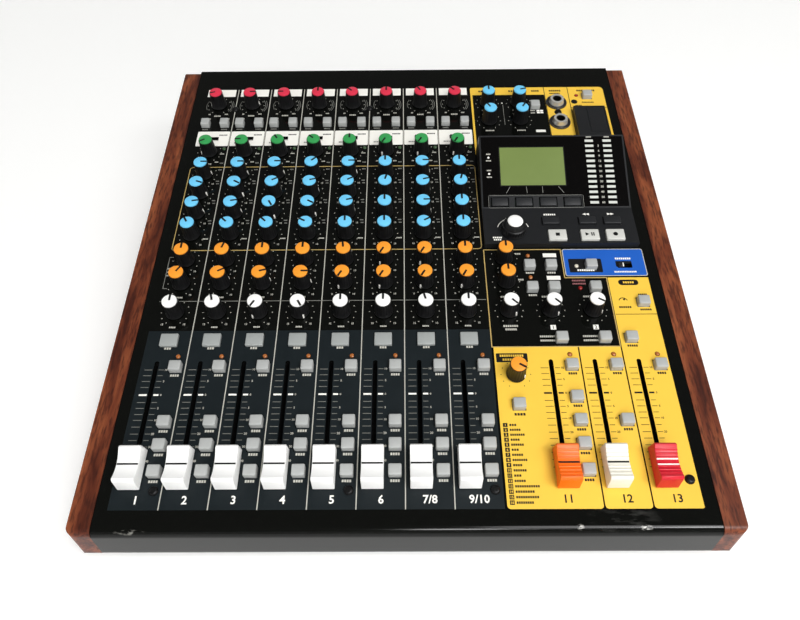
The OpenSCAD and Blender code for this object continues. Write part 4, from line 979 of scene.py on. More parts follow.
def makeKeys():
    onPanel = [b for b in capBoxes("keys") if middle(b).y < keySet["deckEnd"]]
    groups = {}
    for box in onPanel:
        at = middle(box)
        near = [look for look, row in keySet["rows"].items() if abs(at.y - row) < keySet["rowReach"]]
        low = keySet["panelLow"] if at.y < keySet["deckStart"] else keySet["deckLow"]
        group = (near[0] if near else "key", low) + capSizes(box)
        groups.setdefault(group, []).append(rowAt(at.x, at.y))
    meshes = [placed(buttonShape(wide, tall, low, top, keySet["bevel"]), rows, looks[look])
              for (look, low, wide, tall, top), rows in groups.items()]
    onFace = [b for b in solidBoxes("keys", faceFrame) if 0 < middle(b).y < keySet["faceEnd"]
              and b[1].z < keySet["faceTop"] and extent(b).x > keySet["faceLeast"]]
    size = extent(onFace[0])
    shape = buttonShape(size.x, size.y, keySet["faceLow"], onFace[0][1].z, keySet["faceBevel"])
    faceKeys = placed(shape, [rowAt(*middle(b).xy) for b in onFace], looks["darkKey"])
    faceKeys.transform(panelFrame.inverted() @ faceFrame)
    piece("bank_keys", merged("keys", meshes + [faceKeys]), panelFrame, "keys", ("keys",))
    print("keys: %d on the panel, %d on the face" % (len(onPanel), len(onFace)))
    return [middle(b) for b in onFace]


faceKeyPlaces = makeKeys()

# Slide switches: ribbed handles, one of them with a white line
slide = {"low": -6, "bevel": 0.15, "rib": 0.3, "ribPlaces": (-0.9, 0, 0.9), "ribHalf": 0.25, "ribInset": 0.1,
         "ribBevel": 0.08, "lineShift": 1.35, "lineRise": 0.05, "lineWide": 1.6, "lineEnd": 200}


def makeSlides():
    boxes = solidBoxes("slide_switches")
    places = [middle(b).xy for b in boxes]
    rows = [rowAt(x, y) for x, y in places]
    wide, tall, top = extent(boxes[-1]).x / 2, extent(boxes[-1]).y / 2, boxes[-1][1].z
    grip = top - slide["rib"]
    handle = block((-wide, -tall, slide["low"]), (wide, tall, grip), slide["bevel"], 1)
    half, long = slide["ribHalf"], tall - slide["ribInset"]
    rib = newMesh("rib", block((-half, -long, grip - slide["rib"]), (half, long, top), slide["ribBevel"], 1))
    ribs = [rowAt(x + shift, y) for x, y in places for shift in slide["ribPlaces"]]
    # the switch in the blue field has a white line
    lines = [((x + slide["lineShift"], y, slide["lineRise"]), (slide["lineWide"], 1, 1), 0)
             for x, y in places if y < slide["lineEnd"]]
    meshes = [placed(newMesh("handle", handle), rows, looks["handle"]), placed(rib, ribs, looks["handle"]),
              placed(rib, lines, inks["white"])]
    piece("bank_slide_switches", merged("slides", meshes), panelFrame, "slide_switches",
          ("slide_switches",))
    print("slide switches: %d" % len(rows))


makeSlides()

# Lamps and level meter bars; a zone is a look, its left end and its lowest and highest row
lamp = {
    "radius": 1.3, "top": 0.8, "low": -3.0, "round": 0.2, "most": 3,
    "zones": (("lampRed", 120, 320, math.inf), ("lampGreen", -math.inf, 260, math.inf),
              ("lampRed", 100, 130, 150), ("lampPale", 100, 150, 175)),
    "barLeast": 4, "barLow": -0.3, "barTall": 0.36,
}


def lampLook(at):
    for look, left, low, high in lamp["zones"]:
        if at.x > left and low < at.y < high:
            return look
    return "lampAmber"


def makeLamps():
    spots = {}
    for box in solidBoxes("indicator_lamps"):
        across = extent(box)
        if abs(across.x - across.y) < lamp["round"] and across.x < lamp["most"]:
            at = middle(box)
            spots.setdefault(lampLook(at), []).append(rowAt(at.x, at.y))
    r, top, low = lamp["radius"], lamp["top"], lamp["low"]
    dome = newMesh("dome", lathe([(0, low), (r, low), (r, 0.1), (r * 0.9, top * 0.55), (r * 0.62, top * 0.86),
                                  (r * 0.3, top * 0.98), (0, top)], sides=18))
    meshes = [placed(dome, rows, looks[look]) for look, rows in spots.items()]
    bars = [b for b in solidBoxes("indicator_lamps", faceFrame) if extent(b).x > lamp["barLeast"]]
    rows = [((middle(b).x, middle(b).y, lamp["barLow"]), (extent(b).x, extent(b).y, lamp["barTall"]), 0)
            for b in bars]
    meter = placed(shapeMesh("bar"), rows, looks["meterBar"])
    meter.transform(panelFrame.inverted() @ faceFrame)
    piece("panel_lamps", merged("lampsAndMeter", meshes + [meter]), panelFrame, "console",
          ("indicator_lamps",))
    print("lamps: %d, meter bars: %d" % (sum(len(r) for r in spots.values()), len(bars)))
    return [(middle(b).x, middle(b).y) for b in bars]


meterPlaces = makeLamps()

# Screws on the heads of the CAD screws, each with a darker cross standing for the shade in its cross recess:
# painted shade
screw = {"radius": 2.7, "tip": 2.1, "head": 1.5, "shank": 1.5, "end": -4, "cross": 0.42, "reach": 1.5,
         "turns": {"panel": 25, "rear": 20, "foot": 35}, "rearGap": 0.2, "footHeight": 6, "sideShank": 1.4}


def screwShape():
    radius, tip, head, shank, end = (screw[key] for key in ("radius", "tip", "head", "shank", "end"))
    return newMesh("screw", lathe([
        (0, end), (shank, end), (shank, 0), (radius, 0), (radius, 0.25), (radius * 0.94, 0.7),
        (tip, head - 0.18), (tip * 0.8, head), (0, head)], sides=28))


# painted shade of the recess: two dark arms laid just over the head; they end at slightly different heights,
# so that they don't share a face
def crossShape():
    cross, reach, head = screw["cross"], screw["reach"], screw["head"]
    bm = block((-reach, -cross, head - 0.05), (reach, cross, head + 0.03))
    bm.from_mesh(newMesh("arm", block((-cross, -reach, head - 0.05), (cross, reach, head + 0.035))))
    return newMesh("cross", bm)


def sideScrew(box):
    way = 1 if middle(box).x > 0 else -1
    long, head, shank = extent(box).x, extent(box).x - screw["head"], screw["sideShank"]
    rod = newMesh("sideScrew", lathe([(0, 0), (shank, 0), (shank, head), (screw["radius"], head),
                                      (screw["tip"], long), (0, long)], sides=16), looks["screw"])
    start = Vector((box[1].x if way > 0 else box[0].x, middle(box).y, middle(box).z))
    rod.transform(worldFrame @ Matrix.Translation(start) @ Matrix.Rotation(-way * math.pi / 2, 4, "Y"))
    return rod


def makeScrews():
    groups = {"panel": [], "rear": [], "foot": [], "side": []}
    turns = screw["turns"]
    for world, local, rear in zip(solidBoxes("screws", worldFrame), solidBoxes("screws", panelFrame),
                                  solidBoxes("screws", rearFrame)):
        at = middle(world)
        if world[1].y > rearY / mm - screw["rearGap"]:
            groups["rear"].append(rowAt(*middle(rear).xy, turn=turns["rear"]))
        elif world[0].z < screw["footHeight"]:
            groups["foot"].append(rowAt(at.x, -at.y, -world[0].z - screw["head"], turns["foot"]))
        elif extent(world).x > extent(world).y:
            groups["side"].append(world)
        else:
            groups["panel"].append(rowAt(*middle(local).xy, turn=turns["panel"]))
    under = Matrix.Rotation(math.pi, 4, "X") @ worldFrame
    whole = []
    for name, inFrame in (("panel", panelFrame), ("rear", rearFrame), ("foot", under)):
        part = merged(name, [placed(screwShape(), groups[name], looks["screw"]),
                             placed(crossShape(), groups[name], looks["blackAndShade"])])
        part.transform(inFrame)
        whole.append(part)
    whole += [sideScrew(box) for box in groups["side"]]
    piece("panel_screws", merged("screws", whole), Matrix.Identity(4), "console", ("screws",))
    print("screws: " + ", ".join("%d %s" % (len(rows), name) for name, rows in groups.items()))


makeScrews()

# Headphone jacks: black washer on the panel and a dark sleeve in each bore
jack = {"places": ((115.6, 317.0), (115.6, 295.5)), "washer": 7.75, "bush": 5.75, "seat": 0.02, "rim": 0.8,
        "slant": 0.3, "thick": 1.12, "bore": 3.28, "sleeve": 0.35, "sleeveSpan": (-20, 3.9),
        "sleeveDrop": 0.2}


def makeJackTrim():
    bush, washer, seat, thick = (jack[key] for key in ("bush", "washer", "seat", "thick"))
    ring = newMesh("washer", lathe([(bush, seat), (washer, seat), (washer, jack["rim"]),
                                    (washer - jack["slant"], thick), (bush, thick)], sides=40))
    bore, inner = jack["bore"], jack["bore"] - jack["sleeve"]
    low, top = jack["sleeveSpan"]
    sleeve = newMesh("sleeve", lathe([(inner, low), (bore, low), (bore, top),
                                      (inner, top - jack["sleeveDrop"])], sides=28))
    rows = [rowAt(u, v) for u, v in jack["places"]]
    meshes = [placed(ring, rows, looks["socket"]), placed(sleeve, rows, looks["blackAndShade"])]
    piece("jack_washers", merged("jackTrim", meshes), panelFrame, "console")


makeJackTrim()

# Screen surface in the window, with a dark border
screen = {"u0": 65.4, "s0": 17.0, "wide": 43.4, "tall": 28.6, "border": 0.7, "low": -0.2, "top": 0.05,
          "borderTop": 0.025}


def screenPlate(name, grow, top, look):
    low = (screen["u0"] - grow, screen["s0"] - grow, screen["low"])
    high = (screen["u0"] + screen["wide"] + grow, screen["s0"] + screen["tall"] + grow, top)
    return newMesh(name, block(low, high), looks[look])


def makeScreen():
    glass = screenPlate("screen", 0, screen["top"], "screen")
    edge = screenPlate("screenEdge", screen["border"], screen["borderTop"], "blackAndShade")
    piece("screen_face", merged("screenFace", [glass, edge]), faceFrame, "console")


makeScreen()
print("hardware: jacks, screen")

# Print of the channel strips; a label is an ink, a place from the strip's middle, a row, a width and a height
channelPrint = {
    "field": (9.0, 116.4), "fieldOut": 0.7, "name": (326.8, 334.8), "nameInset": 2.0,
    "band": (273.3, 288.4), "bandInset": 0.55, "firstInset": 1.2, "bandRound": 0.8,
    "labels": (
        ("grey", -5.6, 276.4, 7.0, 1.2), ("black", 7.4, 284.6, 6.0, 1.1), ("pale", -7, 302.0, 5.2, 1.2),
        ("pale", 7, 302.0, 5.2, 1.2), ("grey", -7, 290.7, 4.4, 1.0), ("grey", 7, 290.7, 4.4, 1.0),
        ("pale", 0, 305.2, 5.0, 1.2), ("pale", 9.2, 265.2, 3.0, 0.9), ("pale", 0, 255.2, 6.0, 1.2),
        ("grey", 10.0, 256.0, 2.6, 0.9), ("grey", 10.0, 249.4, 2.6, 0.9), ("pale", 9.4, 187.0, 3.6, 0.9),
        ("grey", 9.8, 238.5, 2.4, 0.8), ("grey", 10.2, 236.1, 2.0, 0.8), ("grey", 9.8, 220.5, 2.4, 0.8),
        ("grey", 10.2, 218.1, 2.0, 0.8), ("grey", 9.8, 202.5, 2.4, 0.8), ("grey", 10.2, 200.1, 2.0, 0.8),
        ("pale", 0, 140.6, 5.0, 1.1), ("pale", 0, 119.0, 4.0, 1.0), ("pale", 0, 104.4, 4.2, 1.4)),
    "bandLine": (4.6, 278.7, 0.35), "divider": (9.2, 334.5, 0.55),
    "inset": (1.6, 0.7), "equalizer": (177.4, 252.0), "equalizerRound": 2.2, "equalizerLine": 0.5,
    "auxiliary": 137.8, "bracket": (172.0, 147.5), "bracketReach": 2.4, "thinLine": 0.4,
    "bracketLabels": (157.5, 160.2, 162.9), "bracketLabel": (3.4, 1.0), "bracketShift": 1.4,
}


def printChannels():
    c = channelPrint
    field("charcoal", stripLeft(0) - c["fieldOut"], c["field"][0], masterLeft, c["field"][1])
    half, row, wide = c["bandLine"]
    for i in range(strip["channels"]):
        x0, x1, m = stripLeft(i), stripLeft(i + 1), stripMid(i)
        field("white", x0 + c["nameInset"], c["name"][0], x1 - c["nameInset"], c["name"][1])
        inset = c["bandInset"] if i else c["firstInset"]
        field("white", x0 + inset, c["band"][0], x1 - c["bandInset"], c["band"][1], (c["bandRound"],) * 4)
        for ink, shift, *place in c["labels"]:
            label(ink, m + shift, *place)
        lineBetween("grey", m - half, row, m + half, row, wide)
    low, high, wide = c["divider"]
    for i in range(1, strip["channels"]):
        lineBetween("pale", stripLeft(i), low, stripLeft(i), high, wide)
    # equalizer box, auxiliary line and the bracket of the first strip
    left, end = stripLeft(0) + c["inset"][0], masterLeft - c["inset"][1]
    low, high = c["equalizer"]
    lineLoop("tan", boxOutline(left, low, end, high, (c["equalizerRound"],) * 4), c["equalizerLine"])
    lineBetween("grey", left, c["auxiliary"], end, c["auxiliary"], c["thinLine"])
    reach, (high, low) = left + c["bracketReach"], c["bracket"]
    lineLoop("grey", [(reach, high), (left, high), (left, low), (reach, low)], c["thinLine"], closed=False)
    for v in c["bracketLabels"]:
        label("pale", left + c["bracketShift"], v, *c["bracketLabel"])


# Print round the dials of the strips; an arc is a radius, two angles and its steps
dialPrint = {
    "arcs": ((9.7, -38, 34, 6), (10.9, -34, 28, 6), (9.7, 150, 205, 5)), "arcLine": 0.3,
    "plainRows": ("gain", "compressor"), "plain": ((6.4, -9.4, 2.6, 1.0), (-6.2, -9.4, 1.6, 1.0)),
    "ends": {"equalizer": ("15", "15"), "aux": ("0", "10")}, "shift": 6.7, "drop": 8.4, "tall": 1.25,
}


def printDials():
    d = dialPrint
    for i in range(strip["channels"]):
        m = stripMid(i)
        for bend in d["arcs"]:
            lineLoop("grey", arc(m, knobRows["gain"][0], *bend), d["arcLine"], closed=False)
        for row, values in knobRows.items():
            v = values[0]
            if row in d["plainRows"]:
                for u, drop, wide, tall in d["plain"]:
                    label("pale", m + u, v + drop, wide, tall)
                continue
            for way, number in zip((-1, 1), d["ends"]["aux" if row.startswith("aux") else "equalizer"]):
                numeral("pale", number, m + way * d["shift"], v - d["drop"], d["tall"])


# Print beside the faders; strips 9 to 11 are the master faders
faderScale = {
    "marks": (90.2, 86.5, 82.8, 79.0, 74.2, 69.6, 66.0, 62.3, 58.8, 54.8, 50.7, 47.0, 43.2, 39.2, 35.2, 31.0),
    "sides": ((-4.05, 4.5), (3.35, 2.9)), "thick": 0.32, "zero": 74.2, "zeroThick": 1.05,
    "numbers": ((90.2, 10), (82.8, 5), (74.2, 0), (66.0, 5), (58.8, 10), (50.7, 20), (43.2, 30), (35.2, 40)),
    "numberShift": 6.1, "numberTall": 1.25,
    "labelRows": (91.6, 57.3, 43.8, 29.1), "labelDrop": 5.1, "label": (5.2, 1.4),
    "masterRows": {9: (91.6, 71.4, 57.3, 43.8, 29.1), 10: (91.6, 57.3), 11: (91.6,)},
    "names": {0: "1", 1: "2", 2: "3", 3: "4", 4: "5", 5: "6", 6: "7/8", 7: "9/10",
              9: "11", 10: "12", 11: "13"},
    "nameShift": {9: -5.0, 10: -0.3}, "nameRow": 14.2, "nameTall": 4.3,
}


def printFaders():
    f = faderScale
    for i, name in f["names"].items():
        master = i in f["masterRows"]
        thin, strong, plain = ("black", "black", "black") if master else ("grey", "white", "pale")
        x = stripLeft(i) + strip["faderInset"]
        for v in f["marks"]:
            tone, thick = (strong, f["zeroThick"]) if v == f["zero"] else (thin, f["thick"])
            for shift, wide in f["sides"]:
                mark(tone, x + shift, v, wide, thick)
        for v, value in f["numbers"]:
            numeral(plain, value, x + f["numberShift"], v, f["numberTall"])
        for v in f["masterRows"].get(i, f["labelRows"]):
            label(plain, stripLeft(i) + strip["buttonInset"], v - f["labelDrop"], *f["label"])
        numeral(strong, name, stripMid(i) + f["nameShift"].get(i, 0.0), f["nameRow"], f["nameTall"])


# Print of the master section; fields are an ink, a box, corner radii and a layer
monitorU = stripMid(9) + 10.1
upperPrint = {
    "fields": (
        ("yellow", 51.3, 326.3, 107.5, 334.8, (0, 0, 0, 1.5)), ("yellow", 51.3, 263.0, 52.8, 326.3),
        ("yellow", 107.5, 263.0, 153.0, 334.8, (0, 0, 3.2, 0))),
    "lines": (
        ("black", 107.8, 263, 107.8, 334.6, 0.5), ("black", 125.9, 263, 125.9, 334.6, 0.5),
        ("black", 126, 311.3, 152.6, 311.3, 0.5), ("grey", 75.0, 293.5, 75.0, 315.0, 0.35)),
    "labels": (
        ("black", 63.4, 330.6, 12, 1.7), ("black", 86.4, 330.6, 12, 1.7), ("black", 101, 330.6, 6, 1.7),
        ("black", 116, 330.6, 9, 1.7), ("black", 139.5, 330.6, 14, 1.7), ("black", 139.4, 317.2, 9, 1.2),
        ("black", 132.0, 313.6, 5, 1.2), ("black", 115.6, 327.6, 8, 1.2), ("pale", 63.4, 306.6, 6.5, 1.2),
        ("pale", 86.4, 306.6, 6.5, 1.2), ("pale", 63.4, 287.2, 6.5, 1.2), ("pale", 86.4, 287.2, 6.5, 1.2),
        ("pale", monitorU, 319.4, 6.5, 1.2), ("pale", monitorU - 2.0, 305.8, 3.4, 1.0),
        ("pale", monitorU - 2.0, 308.4, 3.4, 1.0)),
    "blocks": (
        ("white", 100.6, 286.4, 7.0, 2.4), ("white", monitorU + 2.1, 306.2, 2.2, 1.6),
        ("white", monitorU + 2.1, 308.2, 2.2, 1.6), ("white", monitorU + 4.7, 306.2, 2.2, 1.6),
        ("white", monitorU + 4.7, 308.2, 2.2, 1.6)),
    "dots": (("black", 129.3, 318.0, 5.0), ("white", 74.6, 317.0, 1.2)),
    "numbers": (("black", "1", 121.6, 323.4, 2.2), ("black", "2", 121.6, 301.8, 2.2)),
}
lowerPrint = {
    "fields": (
        ("yellow", 52.0, 8.9, 101.2, 104.0, (1.8, 1.8, 0, 0)),
        ("yellow", 102.0, 8.9, 126.2, 104.0, (1.8, 1.8, 0, 0)),
        ("yellow", 127.0, 8.9, 152.2, 153.8, (1.8, 1.0, 0, 0)),
        ("pale", 101.2, 155.0, 152.6, 176.5, (1.4,) * 4, "under"),
        ("blue", 101.7, 155.5, 152.1, 176.0, (1.1,) * 4, "ground"),
        ("black", 104.2, 157.9, 125.1, 168.6, (0.6,) * 4, "upper"),
        ("black", 133.9, 162.0, 144.1, 166.6, (0.5,) * 4, "upper"),
        ("black", 133.0, 147.9, 145.4, 152.1, (2.0,) * 4, "upper"),
        ("black", 53.0, 94.0, 71.2, 99.9, (0.6,) * 4, "upper")),
    "lines": (("black", 127.6, 126.5, 152.4, 126.5, 0.4),),
    "labels": (
        ("white", 114.4, 159.6, 11.0, 1.4), ("white", 139.0, 168.6, 10.0, 1.4),
        ("white", 139.0, 158.2, 14.0, 1.1), ("yellow", 139.2, 150.0, 7.0, 1.4),
        ("black", 134.0, 131.6, 7.6, 1.3), ("black", 146.2, 129.8, 7.0, 1.3),
        ("black", 146.2, 140.8, 5.6, 1.3), ("black", 133.4, 104.6, 6.2, 1.4), ("pale", 79.0, 157.8, 5.4, 1.3),
        ("pale", 92.5, 157.8, 5.4, 1.3), ("pale", 79.0, 140.8, 5.4, 1.3), ("pale", 92.5, 140.8, 5.4, 1.3),
        ("pink", 108.6, 149.2, 8.4, 1.1), ("pink", 108.6, 151.6, 8.4, 1.1), ("pale", 63.4, 139.6, 9.0, 1.3),
        ("pale", 88.7, 139.6, 9.0, 1.3), ("pale", 114.1, 139.6, 9.0, 1.3), ("pale", 63.4, 118.6, 9.0, 1.3),
        ("pale", 63.4, 116.2, 7.0, 1.3), ("pale", 84.4, 108.4, 9.0, 1.2), ("pale", 84.4, 111.2, 9.0, 1.2),
        ("pale", 109.8, 108.4, 9.0, 1.2), ("pale", 109.8, 111.2, 9.0, 1.2), ("pale", 72.8, 172.9, 3.6, 1.2),
        ("pale", 72.8, 152.6, 3.6, 1.2), ("yellow", 62.0, 98.3, 14.0, 1.4), ("yellow", 62.0, 95.7, 11.0, 1.4),
        ("black", 63.4, 61.3, 6.4, 1.5)),
    "blocks": (
        ("white", 92.9, 171.6, 8.5, 3.0), ("white", 93.4, 153.8, 8.5, 3.0), ("white", 88.7, 117.5, 3.2, 3.2),
        ("white", 114.1, 117.5, 3.2, 3.2)),
    "dots": (("black", 134.3, 137.2, 1.4),),
    "numbers": (("black", "1", 88.7, 117.5, 2.2), ("black", "2", 114.1, 117.5, 2.2)),
}
masterLines = {
    "box": [(51.1, 176.3), (100.3, 176.3), (100.3, 153.8), (126.3, 153.8), (126.3, 104.2), (51.1, 104.2)],
    "boxLine": 0.6, "lampArc": (133.6, 135.8, 2.6, 20, 160, 6), "arcLine": 0.5,
}
effectList = {"rows": 16, "high": 55.0, "low": 12.2, "u": 54.7, "box": (2.5, 2.35), "numberTall": 1.35,
              "left": 56.8, "tall": 1.25, "least": 4, "longFrom": 12, "longer": 5}


def printMaster():
    printTable(upperPrint)
    printTable(lowerPrint)
    lineLoop("tan", masterLines["box"], masterLines["boxLine"])
    lineLoop("black", arc(*masterLines["lampArc"]), masterLines["arcLine"], closed=False)
    e = effectList
    for i in range(e["rows"]):
        v = e["high"] - i * (e["high"] - e["low"]) / (e["rows"] - 1)
        mark("black", e["u"], v, *e["box"])
        numeral("yellow", i + 1, e["u"], v, e["numberTall"])
        wide = e["least"] + (i * 7) % 5 + (e["longer"] if i >= e["longFrom"] else 0)  # uneven lengths
        label("black", e["left"] + wide / 2, v, wide, e["tall"])


# Print of the display's face: marks beside the screen, lines to the keys and meter numbers
facePrint = {
    "side": 57.7, "sideRows": (38.0, 25.6), "sideDot": 1.5, "sideLabels": ((-2.4, 3.6), (2.6, 3.0)),
    "sideTall": 0.9, "lean": (-2.6, 0.5, 0.0, 3.2), "leanRows": (15.8, 11.4), "leanShift": 0.5,
    "leanLine": 0.35, "keyBox": (7.4, 0.4, 9.6), "keyBoxRound": 0.8, "keyBoxLine": 0.25,
    "levels": ("60", "50", "40", "35", "30", "25", "20", "16", "12", "9", "6", "3"), "levelTall": 1.5,
    "columnRise": 3.0, "columnLabel": (3.6, 1.0),
}


def printFace():
    f = facePrint
    for s in f["sideRows"]:
        dot("white", f["side"], s, f["sideDot"], "face")
        for rise, wide in f["sideLabels"]:
            label("pale", f["side"], s + rise, wide, f["sideTall"], "face")
    high, low = f["leanRows"]
    for i, shift in enumerate(f["lean"]):
        top = screen["u0"] + screen["wide"] * (i + 0.5) / len(f["lean"]) + f["leanShift"]
        lineBetween("grey", top, high, top + shift, low, f["leanLine"], "face")
    reach, low, high = f["keyBox"]
    left, right = faceKeyPlaces[0].x - reach, faceKeyPlaces[-1].x + reach
    lineLoop("grey", boxOutline(left, low, right, high, (f["keyBoxRound"],) * 4), f["keyBoxLine"], "face")
    columns = sorted(set(round(u, 1) for u, s in meterPlaces))
    levels = sorted(set(round(s, 2) for u, s in meterPlaces))
    between = sum(columns) / len(columns)
    for s, value in zip(levels, f["levels"]):
        numeral("pale", value, between, s, f["levelTall"], "face")
    for u in columns:
        label("pale", u, levels[-1] + f["columnRise"], *f["columnLabel"], "face")


# Print of the display's deck: arrows over the keys, arcs round the encoder and small labels
deckPrint = {
    "label": (masterLeft + 45.2, 202.3, 8.0, 1.3), "arrows": {"play": 180, "record": 0}, "arrowRow": 202.5,
    "arrowPair": (-1.1, 1.1), "arrow": (2.2, 1.9),
    "arcs": ((1, 18, 62), (-1, 162, 118)), "arcRadius": 10.4, "arcSteps": 6, "arcLine": 0.5,
    "tip": (0.6, 0.3, 1.8), "encoderLabels": ((183.2, 6.0, 1.2), (181.4, 5.0, 1.2)), "encoderShift": -10.9,
}


def printDeck():
    d = deckPrint
    label("white", *d["label"], "deck")
    for key, turn in d["arrows"].items():
        for shift in d["arrowPair"]:
            mark("white", transport[key] + shift, d["arrowRow"], *d["arrow"], turn, "deck", "arrow")
    back, rise, size = d["tip"]
    for way, start, end in d["arcs"]:
        points = arc(encoder["u"], encoder["v"], d["arcRadius"], start, end, d["arcSteps"])
        lineLoop("white", points, d["arcLine"], "deck", False)
        x, y = points[-1]
        mark("white", x - way * back, y + rise, size, size, 90 + end, "deck", "arrow")
    for place in d["encoderLabels"]:
        label("white", encoder["u"] + d["encoderShift"], *place, "deck")


# Symbols on the transport keys, which ride with them
keySymbols = {"sink": 0.2, "rise": 0.04, "stop": 1.3, "play": (-3.0, -0.6), "tall": 1.4, "bars": (0.7, 2.0),
              "barWide": 0.7, "record": 1.5}


def printKeySymbols():
    k = keySymbols
    low, top = keySet["deckKeyTop"] - k["sink"], keySet["deckKeyTop"] + k["rise"]
    stop, play, record = (transport[key] for key in ("stop", "play", "record"))
    v, half, tall = keySet["rows"]["paleKey"], k["stop"], k["tall"]
    back, tip = (play + shift for shift in k["play"])
    shapes = [block((stop - half, v - half, low), (stop + half, v + half, top)),
              plate([(back, v - tall), (tip, v), (back, v + tall)], low, top)]
    for shift in k["bars"]:
        x = play + shift
        shapes.append(block((x, v - tall, low), (x + k["barWide"], v + tall, top)))
    shapes.append(plate(arc(record, v, k["record"], 0, 345, 23), low, top))
    parts = [newMesh("symbol", shape, inks["black"]) for shape in shapes]
    piece("key_symbols", merged("keySymbols", parts), panelFrame, "keys")


# Print of the rear panel: numbers over the round sockets, labels and the signs of the power rocker
rearPrint = {
    "inputs": (139.4, 112.4, 85.4, 58.4, 31.4, 4.4), "outputs": (-112.4, -139.4), "numberRow": 74.2,
    "numberTall": 3.2, "inputLabel": (43.2, 12.0), "jacks": (-22.6, -42.6, -62.6, -82.6),
    "jackLabels": ((68.4, 8.0), (40.4, 8.0)), "tall": 1.4,
    "labels": ((4.4, 40.4, 8.0), (31.4, 35.6, 7.0), (-143.4, 38.0, 8.0)),
    "rocker": -112.4, "on": (43.0, 45.4), "onLine": 0.5, "off": (19.0, 1.3, 0, 330, 11), "offLine": 0.4,
}


def printRear():
    r = rearPrint
    for row in (r["inputs"], r["outputs"]):
        for i, x in enumerate(row):
            numeral("white", i + 1, x, r["numberRow"], r["numberTall"], "rear")
    places = [(x, *r["inputLabel"]) for x in r["inputs"]]
    places += [(x, *row) for x in r["jacks"] for row in r["jackLabels"]]
    for place in places + list(r["labels"]):
        label("pale", *place, r["tall"], "rear")
    lineBetween("white", r["rocker"], r["on"][0], r["rocker"], r["on"][1], r["onLine"], "rear")
    lineLoop("white", arc(r["rocker"], *r["off"]), r["offLine"], "rear")


printChannels()
printDials()
printFaders()
printMaster()
printFace()
printDeck()
printKeySymbols()
printRear()


def makeFields():
    for ink, shapes in fields.items():
        if not shapes:
            continue
        bm = bmesh.new()
        for outline, top in shapes:
            part = printedField(outline, top)
            mesh = bpy.data.meshes.new("field")
            part.to_mesh(mesh)
            part.free()
            bm.from_mesh(mesh)
        mesh = newMesh("field_" + ink, bm, inks[ink])
        piece("print_field_" + ink, mesh, panelFrame, "console")
    print("fields: %d" % sum(len(s) for s in fields.values()))


def dialPlaces():
    places = [(stripMid(i), row[0]) for row in knobRows.values() for i in range(strip["channels"])]
    return places + [row[:2] for name, row in masterKnobs.items() if name != programKnob]


def makeMarks():
    groups = {}
    for (sheet, ink, shape), rows in marks.items():
        groups.setdefault((sheet, ink), []).append(placed(shapeMesh(shape), rows, inks[ink]))
    dial = {"Radius": knob["dialRadius"], "Dot": knob["dialDot"], "Count": knob["dialCount"],
            "Sweep": math.radians(knob["sweep"]), "Thickness": 2 * fieldTop["mark"]}
    for ink, places in (("pale", dialPlaces()), ("black", [masterKnobs[programKnob][:2]])):
        points = pointMesh([(u, v, 0) for u, v in places])
        groups[("panel", ink)].append(runTree(dialRing, points, dict(dial, Finish=inks[ink])))
    for (sheet, ink), meshes in groups.items():
        name = "print_%s_%s" % (sheet, ink)
        piece(name, merged(name, meshes), sheets[sheet], "console")
    print("marks: %d" % sum(len(rows) for rows in marks.values()))


makeFields()
makeMarks()

# CAD nodes that keep their own mesh
cadLooks = {
    "top_panel": "panelPaint", "base_tray": "trayPaint", "rear_panel": "rearPaint", "left_side_panel": "wood",
    "right_side_panel": "wood", "display_housing": "housing", "display_window": "window",
    # potentiometers, fader tracks and switch bodies take the darkest black as painted shade in the slots and
    # gaps over them
    "lcd_screen": "screen", "circuit_boards": "board", "potentiometers": "blackAndShade",
    "fader_tracks": "blackAndShade", "switch_bodies": "blackAndShade", "jack_sockets": "chrome",
    "rear_sockets": "socket", "feet": "rubber", "card_lid": "housing", "power_switch": "socket",
}
for node, look in cadLooks.items():
    slots = frame["nodes"][node].material_slots
    for slot in slots:
        slot.material = looks[look]
    if not slots:
        frame["nodes"][node].data.materials.append(looks[look])
print("CAD nodes dressed: %d" % len(cadLooks))

# Stage: floor that sweeps up far round the object, lights and camera, in metres
studio = {
    "sweep": ((0, 0), (2.4, 0), (2.65, 0.04), (2.85, 0.15), (3.0, 0.35), (3.08, 0.65), (3.1, 1.7)),
    "sides": 64, "floor": (0.9, 0.9, 0.89, 1), "rough": 0.7, "glow": (1, 1, 0.985, 1), "glowShare": 0.2,
    "sky": (1, 0.99, 0.97, 1), "skyStrength": 0.14, "aim": (0, 0, 0.05),
}
# kind, place, energy, whether gloss shows it, and its size
lights = {
    "key": ("SUN", (0.5, -0.5, 1.4), 1.36, True, {"angle": math.radians(28)}),
    "softbox": ("AREA", (0.55, -0.8, 1.1), 9.0, True, {"shape": "RECTANGLE", "size": 1.3, "size_y": 0.09}),
    "fill": ("AREA", (0.15, -1.3, 0.8), 9.0, False, {"shape": "RECTANGLE", "size": 1.2, "size_y": 0.8}),
}
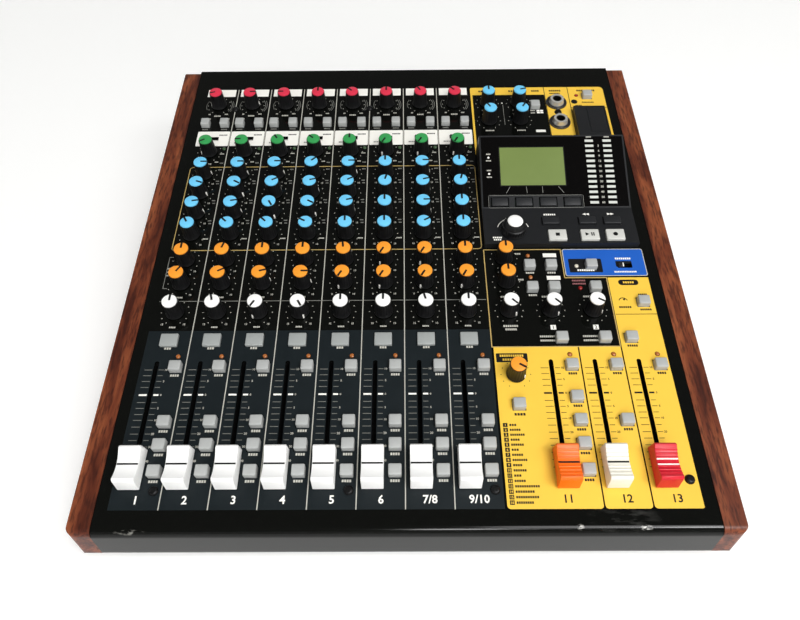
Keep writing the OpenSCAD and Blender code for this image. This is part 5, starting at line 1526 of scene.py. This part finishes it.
# the camera's place is measured from the middle of the pan knob row
camera = {"place": (0.000472, -0.277056, 0.306764), "turn": (42.2042, 0.5654, 0.0325), "lens": 30.653,
          "sensor": 36.0, "near": 0.01}


def makeFloor():
    sweep = lathe(studio["sweep"], sides=studio["sides"])
    floor = bpy.data.objects.new("floor", newMesh("floor", sweep))
    floor.location = (0, 0, cadLow.z)
    material, tree, surface = newMaterial("floor_white")
    surface.inputs["Base Color"].default_value = studio["floor"]
    surface.inputs["Roughness"].default_value = studio["rough"]
    surface.inputs["Emission Color"].default_value = studio["glow"]
    rays = addNode(tree, "ShaderNodeLightPath")
    seen = rays.outputs["Is Camera Ray"]
    for kind in ("Is Glossy Ray", "Is Transmission Ray"):
        seen = maths(tree, "MAXIMUM", seen, rays.outputs[kind])
    tree.links.new(maths(tree, "MULTIPLY", seen, studio["glowShare"]), surface.inputs["Emission Strength"])
    floor.data.materials.append(material)
    scene.collection.objects.link(floor)


def addLight(name, kind, place, energy, glossy, settings):
    light = bpy.data.lights.new(name, kind)
    light.energy = energy
    for key, value in settings.items():
        setattr(light, key, value)
    thing = bpy.data.objects.new(name, light)
    thing.location = place
    thing.rotation_euler = (Vector(studio["aim"]) - Vector(place)).to_track_quat("-Z", "Y").to_euler()
    thing.visible_glossy = glossy
    scene.collection.objects.link(thing)


def makeStage():
    makeFloor()
    for name, row in lights.items():
        addLight(name, *row)
    world = bpy.data.worlds.new("studio")
    world.use_nodes = True
    scene.world = world
    ground = world.node_tree.nodes["Background"]
    ground.inputs["Color"].default_value = studio["sky"]
    ground.inputs["Strength"].default_value = studio["skyStrength"]
    lens = bpy.data.cameras.new("camera")
    lens.lens = camera["lens"]
    lens.sensor_width = camera["sensor"]
    lens.sensor_fit = "HORIZONTAL"
    lens.clip_start = camera["near"]
    eye = bpy.data.objects.new("camera", lens)
    eye.location = panSeat + Vector(camera["place"])
    eye.rotation_euler = [math.radians(a) for a in camera["turn"]]
    scene.collection.objects.link(eye)
    scene.camera = eye
    scene.view_settings.view_transform = "Standard"
    print("stage: floor, %d lights, camera" % len(lights))


makeStage()
